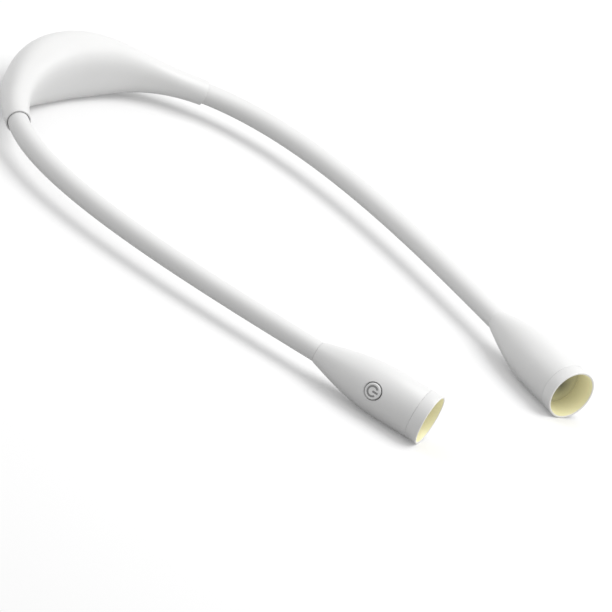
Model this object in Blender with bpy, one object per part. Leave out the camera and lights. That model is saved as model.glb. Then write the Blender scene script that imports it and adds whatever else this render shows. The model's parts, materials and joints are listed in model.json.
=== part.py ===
"""Neck reading light: a crescent battery housing for the nape, two bendable arms in soft
sleeves, and a torch head with its own push button on the end of each arm.

Metres, +Z up. The light lies flat on its underside, with the housing at the origin and the
heads towards -Y. Left and right are the wearer's: right is -X, left is +X.
"""

import math

import bmesh
import bpy
from mathutils import Matrix, Vector
from mathutils.geometry import interpolate_bezier

# Clearances and modelling sizes
gap = 0.0003
overrun = 0.002
weld = 0.000001

# Heads: the mouth's radius is also the height of every arm and head axis over the table
head_radius = 0.0126
head_length = 0.0617
neck_radius = 0.0052
flare_share = 0.648
flare_length = flare_share * head_length
head_wall = 0.0015
axis_height = head_radius

# Crescent housing: domed over its middle line, and boxy with a flat foot below it
arc_radius = 0.1036
arc_half_angle = math.radians(48)
middle_depth = 0.0276
middle_rise = 0.0174
middle_drop = 0.0132
end_radius = 0.006
dome_roundness = 2.15
foot_roundness = 3.5
bulk_power = 1.2
depth_power = 3.5
rise_power = 2.5
drop_power = 2.3
housing_wall = 0.0018
cover_width_share = 0.74
cover_margin = 0.0055

# Arms
sleeve_radius = 0.005
sleeve_bore = 0.0032
core_radius = 0.0028
core_bore = 0.0013
lead_radius = 0.0009
tube_chamfer = 0.0003
socket_depth = 0.010
socket_gap = 0.0003
stop_wall = 0.0025
ferrule_radius = 0.0039
ferrule_length = 0.006
head_joint_across = 0.0755
head_joint_forward = 0.2265
toe_in = math.radians(15)
housing_handle = 0.055
head_handle = 0.0742
hinge_shares = (0.09, 0.29, 0.49, 0.70, 0.91)
largest_bend = math.radians(35)

# Light parts in each head, as distances from the neck joint
core_into_head = 0.0155
ferrule_pocket_start = 0.008
ferrule_pocket_length = 0.009
ferrule_pocket_radius = 0.0044
seat_offset = 0.0013
seat_place = flare_length + seat_offset
seat_step = 0.0008
seat_length = 0.002
carrier_thickness = 0.0018
board_thickness = 0.0012
led_radius = 0.0022
led_height = 0.0013
reflector_depth = 0.0051
reflector_wall = 0.0008
reflector_mouth_wall = 0.0007
lens_thickness = 0.0021
lens_edge = 0.0012
bezel_length = 0.0062
rim_width = 0.0009
bezel_mouth_radius = head_radius - rim_width
throat_step = 0.0015
bezel_throat_radius = bezel_mouth_radius - throat_step
rim_chamfer_length = 0.0004
rim_chamfer_width = 0.0003

# Push button in the outer side of each head
button_share = 0.843
button_place = button_share * flare_length
button_raise = math.radians(11.6)
button_radius = 0.00425
button_gap = 0.00035
button_stand = 0.00015
button_round = 0.0005
button_travel = 0.0005
lip_radius = 0.0052
lip_thickness = 0.0007
stem_radius = 0.0015
stem_length = 0.0007
plunger_radius = 0.0012
plunger_length = 0.0017
plunger_show = 0.0009
switch_size = 0.005
switch_height = 0.0020
switch_board_length = 0.0104
switch_board_width = 0.0064
switch_board_thickness = 0.001
bracket_thickness = 0.001
bracket_overlap = 0.001
bracket_root_share = 0.75

# Main board and what it carries, and the battery cells beside it on their foam pads
main_board_length = 0.023
main_board_front = 0.004
main_board_clearance = 0.00145
main_board_back = middle_depth / 2 - housing_wall - main_board_clearance
main_board_thickness = 0.001
cell_length = 0.030
cell_width = 0.010
cell_thickness = 0.007
cell_round = 0.0012
cell_clearance = 0.0024
cell_distance = main_board_length / 2 + cell_clearance + cell_length / 2
cell_angle = cell_distance / arc_radius
pad_thickness = 0.0022
pad_inset = 0.001
socket_width = 0.0076
socket_height = 0.0027
socket_length = 0.0058
socket_shell = 0.00035
socket_tongue_inset = 0.0007
socket_tongue_step = 0.0008
socket_recess = 0.0008
light_pipe_radius = 0.001
light_pipe_length = 0.0030
light_pipe_across = 0.0078
light_pipe_recess = 0.00035
post_radius = 0.0017
post_inset = 0.003
post_across = main_board_length / 2 - post_inset
post_front = -0.0028
post_back = main_board_back - post_inset - post_radius

# Cover screws: two by the middle of the inner edge, two past the cells
inner_screw_distance = 0.00995
inner_screw_share = -0.515
outer_screw_clearance = 0.0067
outer_screw_distance = cell_distance + cell_length / 2 + outer_screw_clearance
screw_distances = (
    -outer_screw_distance,
    -inner_screw_distance,
    inner_screw_distance,
    outer_screw_distance,
)
screw_shares = (0.0, inner_screw_share, inner_screw_share, 0.0)
cover_half_angle = (outer_screw_distance + cover_margin) / arc_radius
screw_head_radius = 0.0017
screw_head_height = 0.00075
screw_shank_radius = 0.0009
screw_shank_length = 0.006
screw_seat = 0.00055
boss_radius = 0.0025

# Facets
housing_rings = 23
section_points = 22
tube_sides = 12
core_sides = 8
lead_sides = 6
ring_spacing = 0.009
head_sides = 24
small_sides = 14
route_samples = 160

up = Vector((0, 0, 1))
sides = {"right": -1, "left": 1}

finishes = {
    "white_plastic": ((0.87, 0.87, 0.86), 0.38, 0.0),
    "white_silicone": ((0.86, 0.86, 0.85), 0.50, 0.0),
    "clear_lens": ((0.93, 0.90, 0.80), 0.12, 0.0),
    "reflector_white": ((0.92, 0.91, 0.86), 0.25, 0.0),
    "led_warm": ((1.00, 0.87, 0.52), 0.30, 0.0),
    "circuit_board": ((0.06, 0.22, 0.12), 0.45, 0.0),
    "aluminium": ((0.78, 0.78, 0.79), 0.35, 1.0),
    "steel": ((0.55, 0.55, 0.56), 0.32, 1.0),
    "lead_black": ((0.05, 0.05, 0.05), 0.55, 0.0),
    "battery_foil": ((0.72, 0.73, 0.75), 0.30, 1.0),
    "foam": ((0.12, 0.12, 0.13), 0.90, 0.0),
    "switch_black": ((0.04, 0.04, 0.04), 0.40, 0.0),
}


def clear_scene():
    for thing in list(bpy.data.objects):
        bpy.data.objects.remove(thing, do_unlink=True)


def material(name, finish):
    """A Principled material of the piece's own, from one of the finishes."""
    colour, roughness, metallic = finishes[finish]
    made = bpy.data.materials.new(name)
    made.use_nodes = True
    shader = made.node_tree.nodes["Principled BSDF"]
    shader.inputs["Base Color"].default_value = (*colour, 1.0)
    shader.inputs["Roughness"].default_value = roughness
    shader.inputs["Metallic"].default_value = metallic
    return made


def empty(name, parent=None, matrix=None):
    """An unseen frame that carries pieces; matrix is its place in the parent's frame."""
    frame = bpy.data.objects.new(name, None)
    bpy.context.scene.collection.objects.link(frame)
    frame.empty_display_size = head_radius
    frame.parent = parent
    frame.matrix_local = matrix or Matrix.Identity(4)
    return frame


def piece(name, bm, finish, parent=None, matrix=None):
    """One named piece of the light, in its parent's frame."""
    mesh = finished_mesh(name, bm)
    mesh.materials.append(material(name, finish))
    made = bpy.data.objects.new(name, mesh)
    bpy.context.scene.collection.objects.link(made)
    made.parent = parent
    made.matrix_local = matrix or Matrix.Identity(4)
    return made


def helper(name, bm, parent=None, matrix=None):
    """A shape that only cuts or joins, and isn't a piece."""
    made = bpy.data.objects.new(name, finished_mesh(name, bm))
    bpy.context.scene.collection.objects.link(made)
    made.parent = parent
    made.matrix_local = matrix or Matrix.Identity(4)
    made.hide_render = True
    made.display_type = "WIRE"
    return made


def finished_mesh(name, bm):
    bmesh.ops.recalc_face_normals(bm, faces=bm.faces)
    mesh = bpy.data.meshes.new(name)
    bm.to_mesh(mesh)
    bm.free()
    mesh.shade_smooth()
    mesh.set_sharp_from_angle(angle=math.radians(35))
    return mesh


def combine(target, tool, operation):
    modifier = target.modifiers.new(tool.name, "BOOLEAN")
    modifier.operation = operation
    modifier.solver = "EXACT"
    modifier.object = tool


def cut(target, tool):
    combine(target, tool, "DIFFERENCE")


def join(target, tool):
    combine(target, tool, "UNION")


def keep_inside(target, tool):
    combine(target, tool, "INTERSECT")


def loft(rings, endless=False):
    """Bridges rings of points in turn, and closes the ends or, if endless, joins them."""
    bm = bmesh.new()
    loops = []
    for ring in rings:
        verts = [bm.verts.new(point) for point in ring]
        loops.append([bm.edges.new(pair) for pair in zip(verts, verts[1:] + verts[:1])])
    following = loops[1:] + loops[:1] if endless else loops[1:]
    for first, second in zip(loops, following):
        bmesh.ops.bridge_loops(bm, edges=first + second)
    if not endless:
        bmesh.ops.contextual_create(bm, geom=loops[0])
        bmesh.ops.contextual_create(bm, geom=loops[-1])
    return bm


def turned(outline, steps, solid=True):
    """Turns an outline of (along, radius) points about the X axis; a solid one starts and
    ends on the axis, and a ring's outline closes on itself."""
    bm = bmesh.new()
    verts = [bm.verts.new((along, 0, radius)) for along, radius in outline]
    pairs = list(zip(verts, verts[1:]))
    if not solid:
        pairs.append((verts[-1], verts[0]))
    edges = [bm.edges.new(pair) for pair in pairs]
    bmesh.ops.spin(
        bm,
        geom=verts + edges,
        cent=(0, 0, 0),
        axis=(1, 0, 0),
        dvec=(0, 0, 0),
        angle=math.tau,
        steps=steps,
        use_merge=True,
    )
    bmesh.ops.remove_doubles(bm, verts=bm.verts, dist=weld)
    return bm


def rod(radius, start, end, steps=small_sides):
    return turned([(start, 0), (start, radius), (end, radius), (end, 0)], steps)


def block(low, high, rounding=0.0):
    """A box between two corners, with its edges rounded if a radius is given."""
    bm = bmesh.new()
    bmesh.ops.create_cube(bm, size=1)
    size = Vector(high) - Vector(low)
    bmesh.ops.scale(bm, vec=size, verts=bm.verts)
    bmesh.ops.translate(bm, vec=Vector(low) + size / 2, verts=bm.verts)
    if rounding:
        bmesh.ops.bevel(
            bm, geom=bm.edges[:], offset=rounding, affect="EDGES", segments=2, profile=0.5,
            material=-1,
        )
    return bm


def upright(matrix_place):
    """The frame at a place in which X, the axis of turned shapes, points up."""
    return Matrix.Translation(matrix_place) @ Matrix.Rotation(-math.pi / 2, 4, "Y")


def signed_power(value, power):
    return math.copysign(abs(value) ** power, value)


def swell(angle, power=1):
    """1 at the middle of the crescent and 0 at its ends."""
    share = min(abs(angle) / arc_half_angle, 1)
    return math.cos(math.pi / 2 * share**bulk_power) ** power


def crescent_point(angle, across, height):
    """across runs outwards from the crescent's middle line, away from the neck."""
    radius = arc_radius + across
    return Vector((radius * math.sin(angle), radius * math.cos(angle) - arc_radius, height))


def crescent_frame(angle, across=0.0, height=axis_height):
    """X along the crescent towards the wearer's left, Y outwards, Z up."""
    return Matrix.Translation(crescent_point(angle, across, height)) @ Matrix.Rotation(
        -angle, 4, "Z"
    )


def half_depth(angle, inset=0.0):
    return end_radius + (middle_depth / 2 - end_radius) * swell(angle, depth_power) - inset


def dome_height(angle, inset=0.0):
    """How far the section reaches over its middle line."""
    return end_radius + (middle_rise - end_radius) * swell(angle, rise_power) - inset


def foot_depth(angle, inset=0.0):
    """How far the section would reach under its middle line if its foot weren't flat."""
    return end_radius + (middle_drop - end_radius) * swell(angle, drop_power) - inset


def roundness(angle, at_middle):
    """A section's exponent, which is 2, for a circle, at the ends."""
    return 2 + (at_middle - 2) * swell(angle)


def floor_height(angle, across):
    """The inside of the housing's bottom wall, flat where the underside is flat."""
    power = roundness(angle, foot_roundness)
    share = min(abs(across) / half_depth(angle, housing_wall), 1)
    drop = foot_depth(angle, housing_wall) * (1 - share**power) ** (1 / power)
    return max(axis_height - drop, housing_wall)


def housing_ring(angle, inset=0.0, rise=0.0):
    """A rounded section of the housing, or of its hollow, with the underside kept flat."""
    ring = []
    for step in range(section_points):
        turn = math.tau * step / section_points
        over = math.sin(turn) > 0
        power = 2 / roundness(angle, dome_roundness if over else foot_roundness)
        reach = dome_height(angle, inset) if over else foot_depth(angle, inset)
        across = half_depth(angle, inset) * signed_power(math.cos(turn), power)
        height = axis_height + reach * signed_power(math.sin(turn), power)
        ring.append(crescent_point(angle, across, max(height, inset) + rise))
    return ring


def housing_body(last_angle, inset=0.0, rise=0.0):
    angles = [last_angle * (2 * i / (housing_rings - 1) - 1) for i in range(housing_rings)]
    return loft([housing_ring(angle, inset, rise) for angle in angles])


def cover_band(grow):
    """An upright prism over the cover's outline, from under the light to its axis."""
    last_angle = cover_half_angle + grow / arc_radius
    outline = []
    steps = housing_rings - 1
    for way in (1, -1):
        for i in range(steps + 1):
            angle = way * last_angle * (2 * i / steps - 1)
            across = way * (cover_width_share * half_depth(angle) + grow)
            outline.append((angle, across))
    rings = []
    for height in (-overrun, axis_height):
        rings.append([crescent_point(angle, across, height) for angle, across in outline])
    return loft(rings)


def arm_curve():
    """The left arm's middle line from the housing's end to the head's neck joint."""
    start = crescent_point(arc_half_angle, 0, axis_height)
    leave = Vector((math.cos(arc_half_angle), -math.sin(arc_half_angle), 0))
    end = Vector((head_joint_across, -head_joint_forward, axis_height))
    arrive = Vector((-math.sin(toe_in), -math.cos(toe_in), 0))
    points = interpolate_bezier(
        start,
        start + leave * housing_handle,
        end - arrive * head_handle,
        end,
        route_samples,
    )
    distances = [0.0]
    for before, after in zip(points, points[1:]):
        distances.append(distances[-1] + (after - before).length)
    return points, distances


arm_points, arm_distances = arm_curve()
arm_length = arm_distances[-1]


def arm_place(side, distance):
    """The point and heading on an arm's middle line, from inside the housing (below zero)
    to inside the head (past the arm's length)."""
    if distance < 0:
        angle = arc_half_angle + distance / arc_radius
        point = crescent_point(angle, 0, axis_height)
        heading = Vector((math.cos(angle), -math.sin(angle), 0))
    elif distance >= arm_length:
        heading = Vector((-math.sin(toe_in), -math.cos(toe_in), 0))
        point = arm_points[-1] + heading * (distance - arm_length)
    else:
        after = next(i for i, along in enumerate(arm_distances) if along > distance)
        heading = (arm_points[after] - arm_points[after - 1]).normalized()
        point = arm_points[after - 1] + heading * (distance - arm_distances[after - 1])
    mirror = Vector((side, 1, 1))
    return point * mirror, heading * mirror


def ring_at(centre, heading, radius, points):
    across = heading.cross(up).normalized()
    rise = across.cross(heading).normalized()
    turns = [math.tau * i / points for i in range(points)]
    return [centre + radius * (math.cos(t) * across + math.sin(t) * rise) for t in turns]


def arm_rings(side, start, end, radius, points):
    count = max(2, round((end - start) / ring_spacing) + 1)
    rings = []
    for i in range(count):
        centre, heading = arm_place(side, start + (end - start) * i / (count - 1))
        rings.append(ring_at(centre, heading, radius, points))
    return rings


def arm_tube(side, start, end, radius, bore, points):
    """A length of tube along an arm, with its outer edges chamfered."""
    outside = arm_rings(side, start + tube_chamfer, end - tube_chamfer, radius, points)
    inside = arm_rings(side, start, end, bore, points)
    return loft(outside + inside[::-1], endless=True)


def arm_rod(side, start, end, radius, points):
    return loft(arm_rings(side, start, end, radius, points))


def smooth_points(knots, steps):
    """A smooth route through hand-set knots."""
    route = []
    ends = [knots[0] * 2 - knots[1], *knots, knots[-1] * 2 - knots[-2]]
    for before, start, end, after in zip(ends, ends[1:], ends[2:], ends[3:]):
        reach = (end - start).length / 3
        first = start + (end - before).normalized() * reach
        second = end - (after - start).normalized() * reach
        route.extend(interpolate_bezier(start, first, second, end, steps)[:-1])
    route.append(knots[-1])
    return route


def head_outline(along):
    """The head's outer radius: a bell that swells from the neck and then runs straight."""
    share = min(along / flare_length, 1)
    return neck_radius + (head_radius - neck_radius) * math.sin(math.pi / 2 * share)


def hinge_distances():
    return [share * arm_length for share in hinge_shares]


def core_spans():
    """Each rigid length of the gooseneck, with room at each hinge to bend without touching."""
    half_room = core_radius * math.tan(largest_bend / 2) + gap
    starts = [-(socket_depth + stop_wall + gap + ferrule_length + gap)]
    starts += [distance + half_room for distance in hinge_distances()]
    ends = [distance - half_room for distance in hinge_distances()]
    ends += [arm_length + core_into_head]
    return list(zip(starts, ends))


def make_housing_shell():
    shell = piece("housing_shell", housing_body(arc_half_angle), "white_plastic")
    hollow_end = arc_half_angle - (socket_depth + stop_wall) / arc_radius
    hollow = helper("hollow_cutter", housing_body(hollow_end, housing_wall))
    cut(shell, hollow)
    bosses = helper("boss_joiner", loft_bosses())
    keep_inside(bosses, helper("boss_trim", housing_body(hollow_end, housing_wall, gap)))
    join(shell, bosses)
    cut(shell, helper("cover_opening_cutter", cover_band(gap)))
    for side_name, side in sides.items():
        pocket = arm_rod(
            side, -socket_depth, overrun, sleeve_radius + socket_gap, small_sides
        )
        cut(shell, helper(f"arm_pocket_{side_name}", pocket))
        passage = arm_rod(
            side,
            -(socket_depth + stop_wall + overrun),
            -socket_depth + overrun,
            core_radius + gap,
            small_sides,
        )
        cut(shell, helper(f"core_passage_{side_name}", passage))
    back = middle_depth / 2
    slot_side = socket_width / 2 + gap
    slot_half = socket_height / 2 + gap
    slot = block(
        (-slot_side, back - housing_wall - overrun, axis_height - slot_half),
        (slot_side, back + overrun, axis_height + slot_half),
    )
    cut(shell, helper("charging_slot", slot))
    light_hole = rod(light_pipe_radius + gap, -housing_wall - overrun, overrun)
    cut(shell, helper("light_pipe_hole", light_hole, matrix=light_pipe_frame()))
    for index, place in enumerate(screw_places()):
        pilot = rod(screw_shank_radius + gap, -overrun, screw_shank_length + gap)
        cut(shell, helper(f"pilot_hole_{index}", pilot, matrix=upright(place)))
    return shell


def light_pipe_frame():
    """X points out through the housing's back wall, beside the charging socket."""
    outer = arc_radius + middle_depth / 2
    angle = math.asin(light_pipe_across / outer)
    place = crescent_point(angle, half_depth(angle), axis_height)
    return Matrix.Translation(place) @ Matrix.Rotation(math.pi / 2 - angle, 4, "Z")


def screw_places():
    """The seats of the cover screws' heads."""
    places = []
    for angle, across in screw_spots():
        seat = floor_height(angle, across) - screw_seat
        places.append(crescent_point(angle, across, seat))
    return places


def screw_spots():
    """Each cover screw's angle round the crescent and its distance off the middle line."""
    angles = [distance / arc_radius for distance in screw_distances]
    return [(angle, share * half_depth(angle)) for angle, share in zip(angles, screw_shares)]


def loft_bosses():
    """Four pillars for the cover screws, trimmed to the hollow's roof and floor later."""
    bm = bmesh.new()
    height = axis_height + middle_rise + overrun
    for angle, across in screw_spots():
        bmesh.ops.create_cone(
            bm,
            cap_ends=True,
            segments=small_sides,
            radius1=boss_radius,
            radius2=boss_radius,
            depth=height,
            matrix=Matrix.Translation(crescent_point(angle, across, height / 2)),
        )
    return bm


def make_bottom_cover():
    cover = piece("bottom_cover", housing_body(arc_half_angle), "white_plastic")
    hollow_end = arc_half_angle - (socket_depth + stop_wall) / arc_radius
    cut(cover, helper("cover_hollow_cutter", housing_body(hollow_end, housing_wall)))
    keep_inside(cover, helper("cover_outline", cover_band(0.0)))
    top = main_board_underside() - gap
    posts = bmesh.new()
    for x in (-post_across, post_across):
        for y in (post_front, post_back):
            depth = top - housing_wall / 2
            bmesh.ops.create_cone(
                posts,
                cap_ends=True,
                segments=small_sides,
                radius1=post_radius,
                radius2=post_radius,
                depth=depth,
                matrix=Matrix.Translation((x, y, top - depth / 2)),
            )
    join(cover, helper("board_posts", posts))
    for index, place in enumerate(screw_places()):
        stepped = turned(
            [
                (-axis_height, 0),
                (-axis_height, screw_head_radius + gap),
                (0, screw_head_radius + gap),
                (0, screw_shank_radius + gap),
                (overrun, screw_shank_radius + gap),
                (overrun, 0),
            ],
            small_sides,
        )
        cut(cover, helper(f"screw_hole_{index}", stepped, matrix=upright(place)))
    return cover


def main_board_underside():
    return axis_height - socket_height / 2 - gap - main_board_thickness


def make_housing_contents():
    for side_name, side in sides.items():
        angle = side * cell_angle
        reach = abs(angle) + cell_length / 2 / arc_radius
        pad_top = floor_height(reach, 0) + pad_thickness
        low = (-cell_length / 2 + pad_inset, -cell_width / 2 + pad_inset, -axis_height)
        high = (cell_length / 2 - pad_inset, cell_width / 2 - pad_inset, pad_top - axis_height)
        frame = crescent_frame(angle)
        pad = piece(f"battery_pad_{side_name}", block(low, high), "foam", matrix=frame)
        trim = helper(f"pad_trim_{side_name}", housing_body(reach, housing_wall, gap))
        keep_inside(pad, trim)
        bottom = pad_top + gap - axis_height
        cell = block(
            (-cell_length / 2, -cell_width / 2, bottom),
            (cell_length / 2, cell_width / 2, bottom + cell_thickness),
            cell_round,
        )
        piece(f"battery_cell_{side_name}", cell, "battery_foil", matrix=frame)
    underside = main_board_underside()
    board = block(
        (-main_board_length / 2, -main_board_front, underside),
        (main_board_length / 2, main_board_back, underside + main_board_thickness),
    )
    piece("main_board", board, "circuit_board")
    make_charging_socket()
    pipe = rod(light_pipe_radius, -light_pipe_length, -light_pipe_recess)
    piece("charge_light", pipe, "clear_lens", matrix=light_pipe_frame())
    for index, place in enumerate(screw_places()):
        piece(f"cover_screw_{index + 1}", screw(), "steel", matrix=upright(place))


def screw():
    """A flat-headed screw: the head's upper face lies a gap under its seat."""
    top = -gap
    tip = screw_shank_length - screw_shank_radius
    outline = [
        (top - screw_head_height, 0),
        (top - screw_head_height, screw_head_radius * 0.8),
        (top - screw_head_height / 2, screw_head_radius),
        (top, screw_head_radius),
        (top, screw_shank_radius),
        (tip, screw_shank_radius),
        (screw_shank_length, 0),
    ]
    return turned(outline, small_sides // 2)


def make_charging_socket():
    """A charging socket: a metal shell open at the back, with its contact tongue inside."""
    back = middle_depth / 2 - socket_recess
    half_width = socket_width / 2
    half = socket_height / 2
    bm = block(
        (-half_width, back - socket_length, axis_height - half),
        (half_width, back, axis_height + half),
    )
    bmesh.ops.recalc_face_normals(bm, faces=bm.faces)
    mouth = max(bm.faces, key=lambda face: face.calc_center_median().y)
    depth = socket_length - 2 * socket_shell
    step_face(bm, mouth, socket_shell, -depth)
    step_face(bm, mouth, socket_tongue_inset, depth - socket_tongue_step)
    piece("charging_socket", bm, "steel")


def step_face(bm, face, border, move):
    """Insets a face that looks along +Y and moves the middle in or out along Y."""
    bmesh.ops.inset_region(bm, faces=[face], thickness=border, use_even_offset=True)
    bmesh.ops.inset_region(bm, faces=[face], thickness=0, use_even_offset=True)
    bmesh.ops.translate(bm, vec=(0, move, 0), verts=face.verts)


def make_arm(side_name, side, carriers):
    sleeve = arm_tube(
        side,
        -socket_depth + gap,
        arm_length - gap,
        sleeve_radius,
        sleeve_bore,
        tube_sides,
    )
    piece(f"sleeve_{side_name}", sleeve, "white_silicone")
    names = ("base", "lower", "middle", "upper", "outer", "tip")
    for name, (start, end), carrier in zip(names, core_spans(), carriers):
        core = arm_tube(side, start, end, core_radius, core_bore, core_sides)
        to_local = carrier.matrix_world.inverted() if carrier else None
        piece(f"gooseneck_{side_name}_{name}", core, "steel", carrier, to_local)
    stop = -(socket_depth + stop_wall)
    ferrule = arm_tube(
        side, stop - gap - ferrule_length, stop - gap, ferrule_radius, core_radius + gap,
        small_sides,
    )
    piece(f"housing_ferrule_{side_name}", ferrule, "steel")
    piece(f"lead_{side_name}", lead(side), "lead_black")


def lead(side):
    """The arm's three-core lead: from the main board over the cell, round the screw boss,
    through the gooseneck and on to the back of the light board."""
    mirror = Vector((side, 1, 1))
    board_top = axis_height - socket_height / 2 - gap
    cell_top = floor_height(cell_angle + cell_length / 2 / arc_radius, 0) + pad_thickness
    cell_top += gap + cell_thickness
    over_cell = cell_top + gap + 2 * lead_radius
    beside_boss = boss_radius + gap + 2 * lead_radius
    knots = [
        crescent_point(math.radians(3), 0, board_top + gap + lead_radius),
        crescent_point(math.radians(5), 0, board_top + gap + lead_radius),
        crescent_point(math.radians(9), beside_boss / 2, over_cell),
        crescent_point(math.radians(17), beside_boss / 2, over_cell),
        crescent_point(math.radians(25), beside_boss, over_cell),
        crescent_point(math.radians(29.5), beside_boss, over_cell - lead_radius),
        crescent_point(math.radians(34), beside_boss / 2, axis_height + lead_radius),
    ]
    core_start = core_spans()[0][0]
    for distance in (core_start - 2 * lead_radius, core_start):
        knots.append(arm_place(1, distance)[0])
    route = smooth_points(knots, 4)
    end = arm_length + seat_place + carrier_thickness + gap
    count = round((end - core_start) / ring_spacing)
    for i in range(1, count + 1):
        route.append(arm_place(1, core_start + (end - core_start) * i / count)[0])
    route = [point * mirror for point in route]
    headings = [after - before for before, after in zip(route, route[2:])]
    headings = [route[1] - route[0], *headings, route[-1] - route[-2]]
    rings = []
    for point, heading in zip(route, headings):
        rings.append(ring_at(point, heading.normalized(), lead_radius, lead_sides))
    return loft(rings)


def head_frame_matrix(side):
    """X runs from the neck joint to the mouth, and Z up."""
    point, heading = arm_place(side, arm_length)
    across = up.cross(heading)
    frame = Matrix((heading, across, up)).transposed().to_4x4()
    frame.translation = point
    return frame


def button_frame_matrix(side):
    """In the head's frame: X points out of the head's side, square to its surface, from the
    middle of the button's face. The button sits a little above the head's side."""
    slope = (head_radius - neck_radius) * math.pi / 2 / flare_length
    slope *= math.cos(math.pi / 2 * button_place / flare_length)
    tilt = math.atan(slope)
    out = Vector((-math.sin(tilt), side * math.cos(tilt), 0))
    along = up.cross(out)
    frame = Matrix((out, along, up)).transposed().to_4x4()
    frame.translation = Vector((button_place, side * head_outline(button_place), 0))
    frame.translation += out * button_stand
    return Matrix.Rotation(side * button_raise, 4, "X") @ frame


def button_levels():
    """Depths under the button's face, from its lip down to the bracket under the board."""
    surface = head_outline(button_place)
    inner = math.sqrt((surface - head_wall) ** 2 - lip_radius**2)
    levels = {"lip": button_stand + surface - inner + gap}
    levels["lip_back"] = levels["lip"] + lip_thickness
    levels["stem_end"] = levels["lip_back"] + stem_length
    levels["plunger_top"] = levels["stem_end"] + gap
    levels["plunger_end"] = levels["plunger_top"] + plunger_length
    levels["switch_top"] = levels["plunger_top"] + plunger_show
    levels["switch_hole"] = levels["plunger_end"] + button_travel + gap / 2
    levels["switch_end"] = levels["switch_top"] + switch_height
    levels["board_top"] = levels["switch_end"] + gap
    levels["board_end"] = levels["board_top"] + switch_board_thickness
    levels["bracket_top"] = levels["board_end"] + gap
    levels["bracket_end"] = levels["bracket_top"] + bracket_thickness
    return levels


def head_levels():
    """Where each of the stacked light parts starts and ends along the head."""
    levels = {"carrier": seat_place + gap}
    levels["carrier_end"] = levels["carrier"] + carrier_thickness
    levels["board"] = levels["carrier_end"] + gap
    levels["board_end"] = levels["board"] + board_thickness
    levels["reflector"] = levels["board_end"] + gap
    levels["reflector_end"] = levels["reflector"] + reflector_depth
    levels["lens"] = levels["reflector_end"] + gap
    levels["lens_end"] = levels["lens"] + lens_edge
    levels["bezel_throat"] = levels["lens_end"] + gap
    levels["bezel"] = head_length - bezel_length
    levels["shell_end"] = levels["bezel"] - gap
    return levels


def make_head_shell(side_name, frame, button_frame):
    levels = head_levels()
    pocket_end = ferrule_pocket_start + ferrule_pocket_length
    seat_radius = head_radius - head_wall - seat_step
    flare_shares = (0, 0.06, 0.15, 0.27, 0.4, 0.53, 0.66, 0.79, 0.9, 1)
    outline = [(share * flare_length, head_outline(share * flare_length)) for share in flare_shares]
    outline += [
        (levels["shell_end"], head_radius),
        (levels["shell_end"], head_radius - head_wall),
        (seat_place, head_radius - head_wall),
        (seat_place, seat_radius),
        (seat_place - seat_length, seat_radius),
        (seat_place - seat_length, head_outline(seat_place - seat_length) - head_wall),
    ]
    for share in flare_shares[8:4:-1]:
        outline.append((share * flare_length, head_outline(share * flare_length) - head_wall))
    outline += [
        (pocket_end, head_outline(pocket_end) - head_wall),
        (pocket_end, ferrule_pocket_radius),
        (ferrule_pocket_start, ferrule_pocket_radius),
        (ferrule_pocket_start, core_radius + gap),
        (0, core_radius + gap),
    ]
    shell = turned(outline, head_sides, solid=False)
    shell = piece(f"head_shell_{side_name}", shell, "white_plastic", frame)
    levels = button_levels()
    for end_name, way in (("rear", -1), ("front", 1)):
        bracket = bracket_shape(way, levels)
        join(shell, helper(f"bracket_{end_name}_{side_name}", bracket, button_frame))
    hole = rod(button_radius + button_gap, -levels["lip"], overrun, head_sides)
    cut(shell, helper(f"button_hole_{side_name}", hole, button_frame))
    return shell


def bracket_shape(way, levels):
    """An angle bracket that hangs from the head's wall and carries one end of the board."""
    near = way * (switch_board_length / 2 - bracket_overlap)
    foot = way * (switch_board_length / 2 + gap)
    far = foot + way * bracket_thickness
    root = -(button_stand + head_wall * bracket_root_share)
    profile = [
        (root, far),
        (-levels["bracket_end"], far),
        (-levels["bracket_end"], near),
        (-levels["bracket_top"], near),
        (-levels["bracket_top"], foot),
        (root, foot),
    ]
    half = switch_board_width / 2
    return loft([[Vector((x, y, z)) for x, y in profile] for z in (-half, half)])


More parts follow.
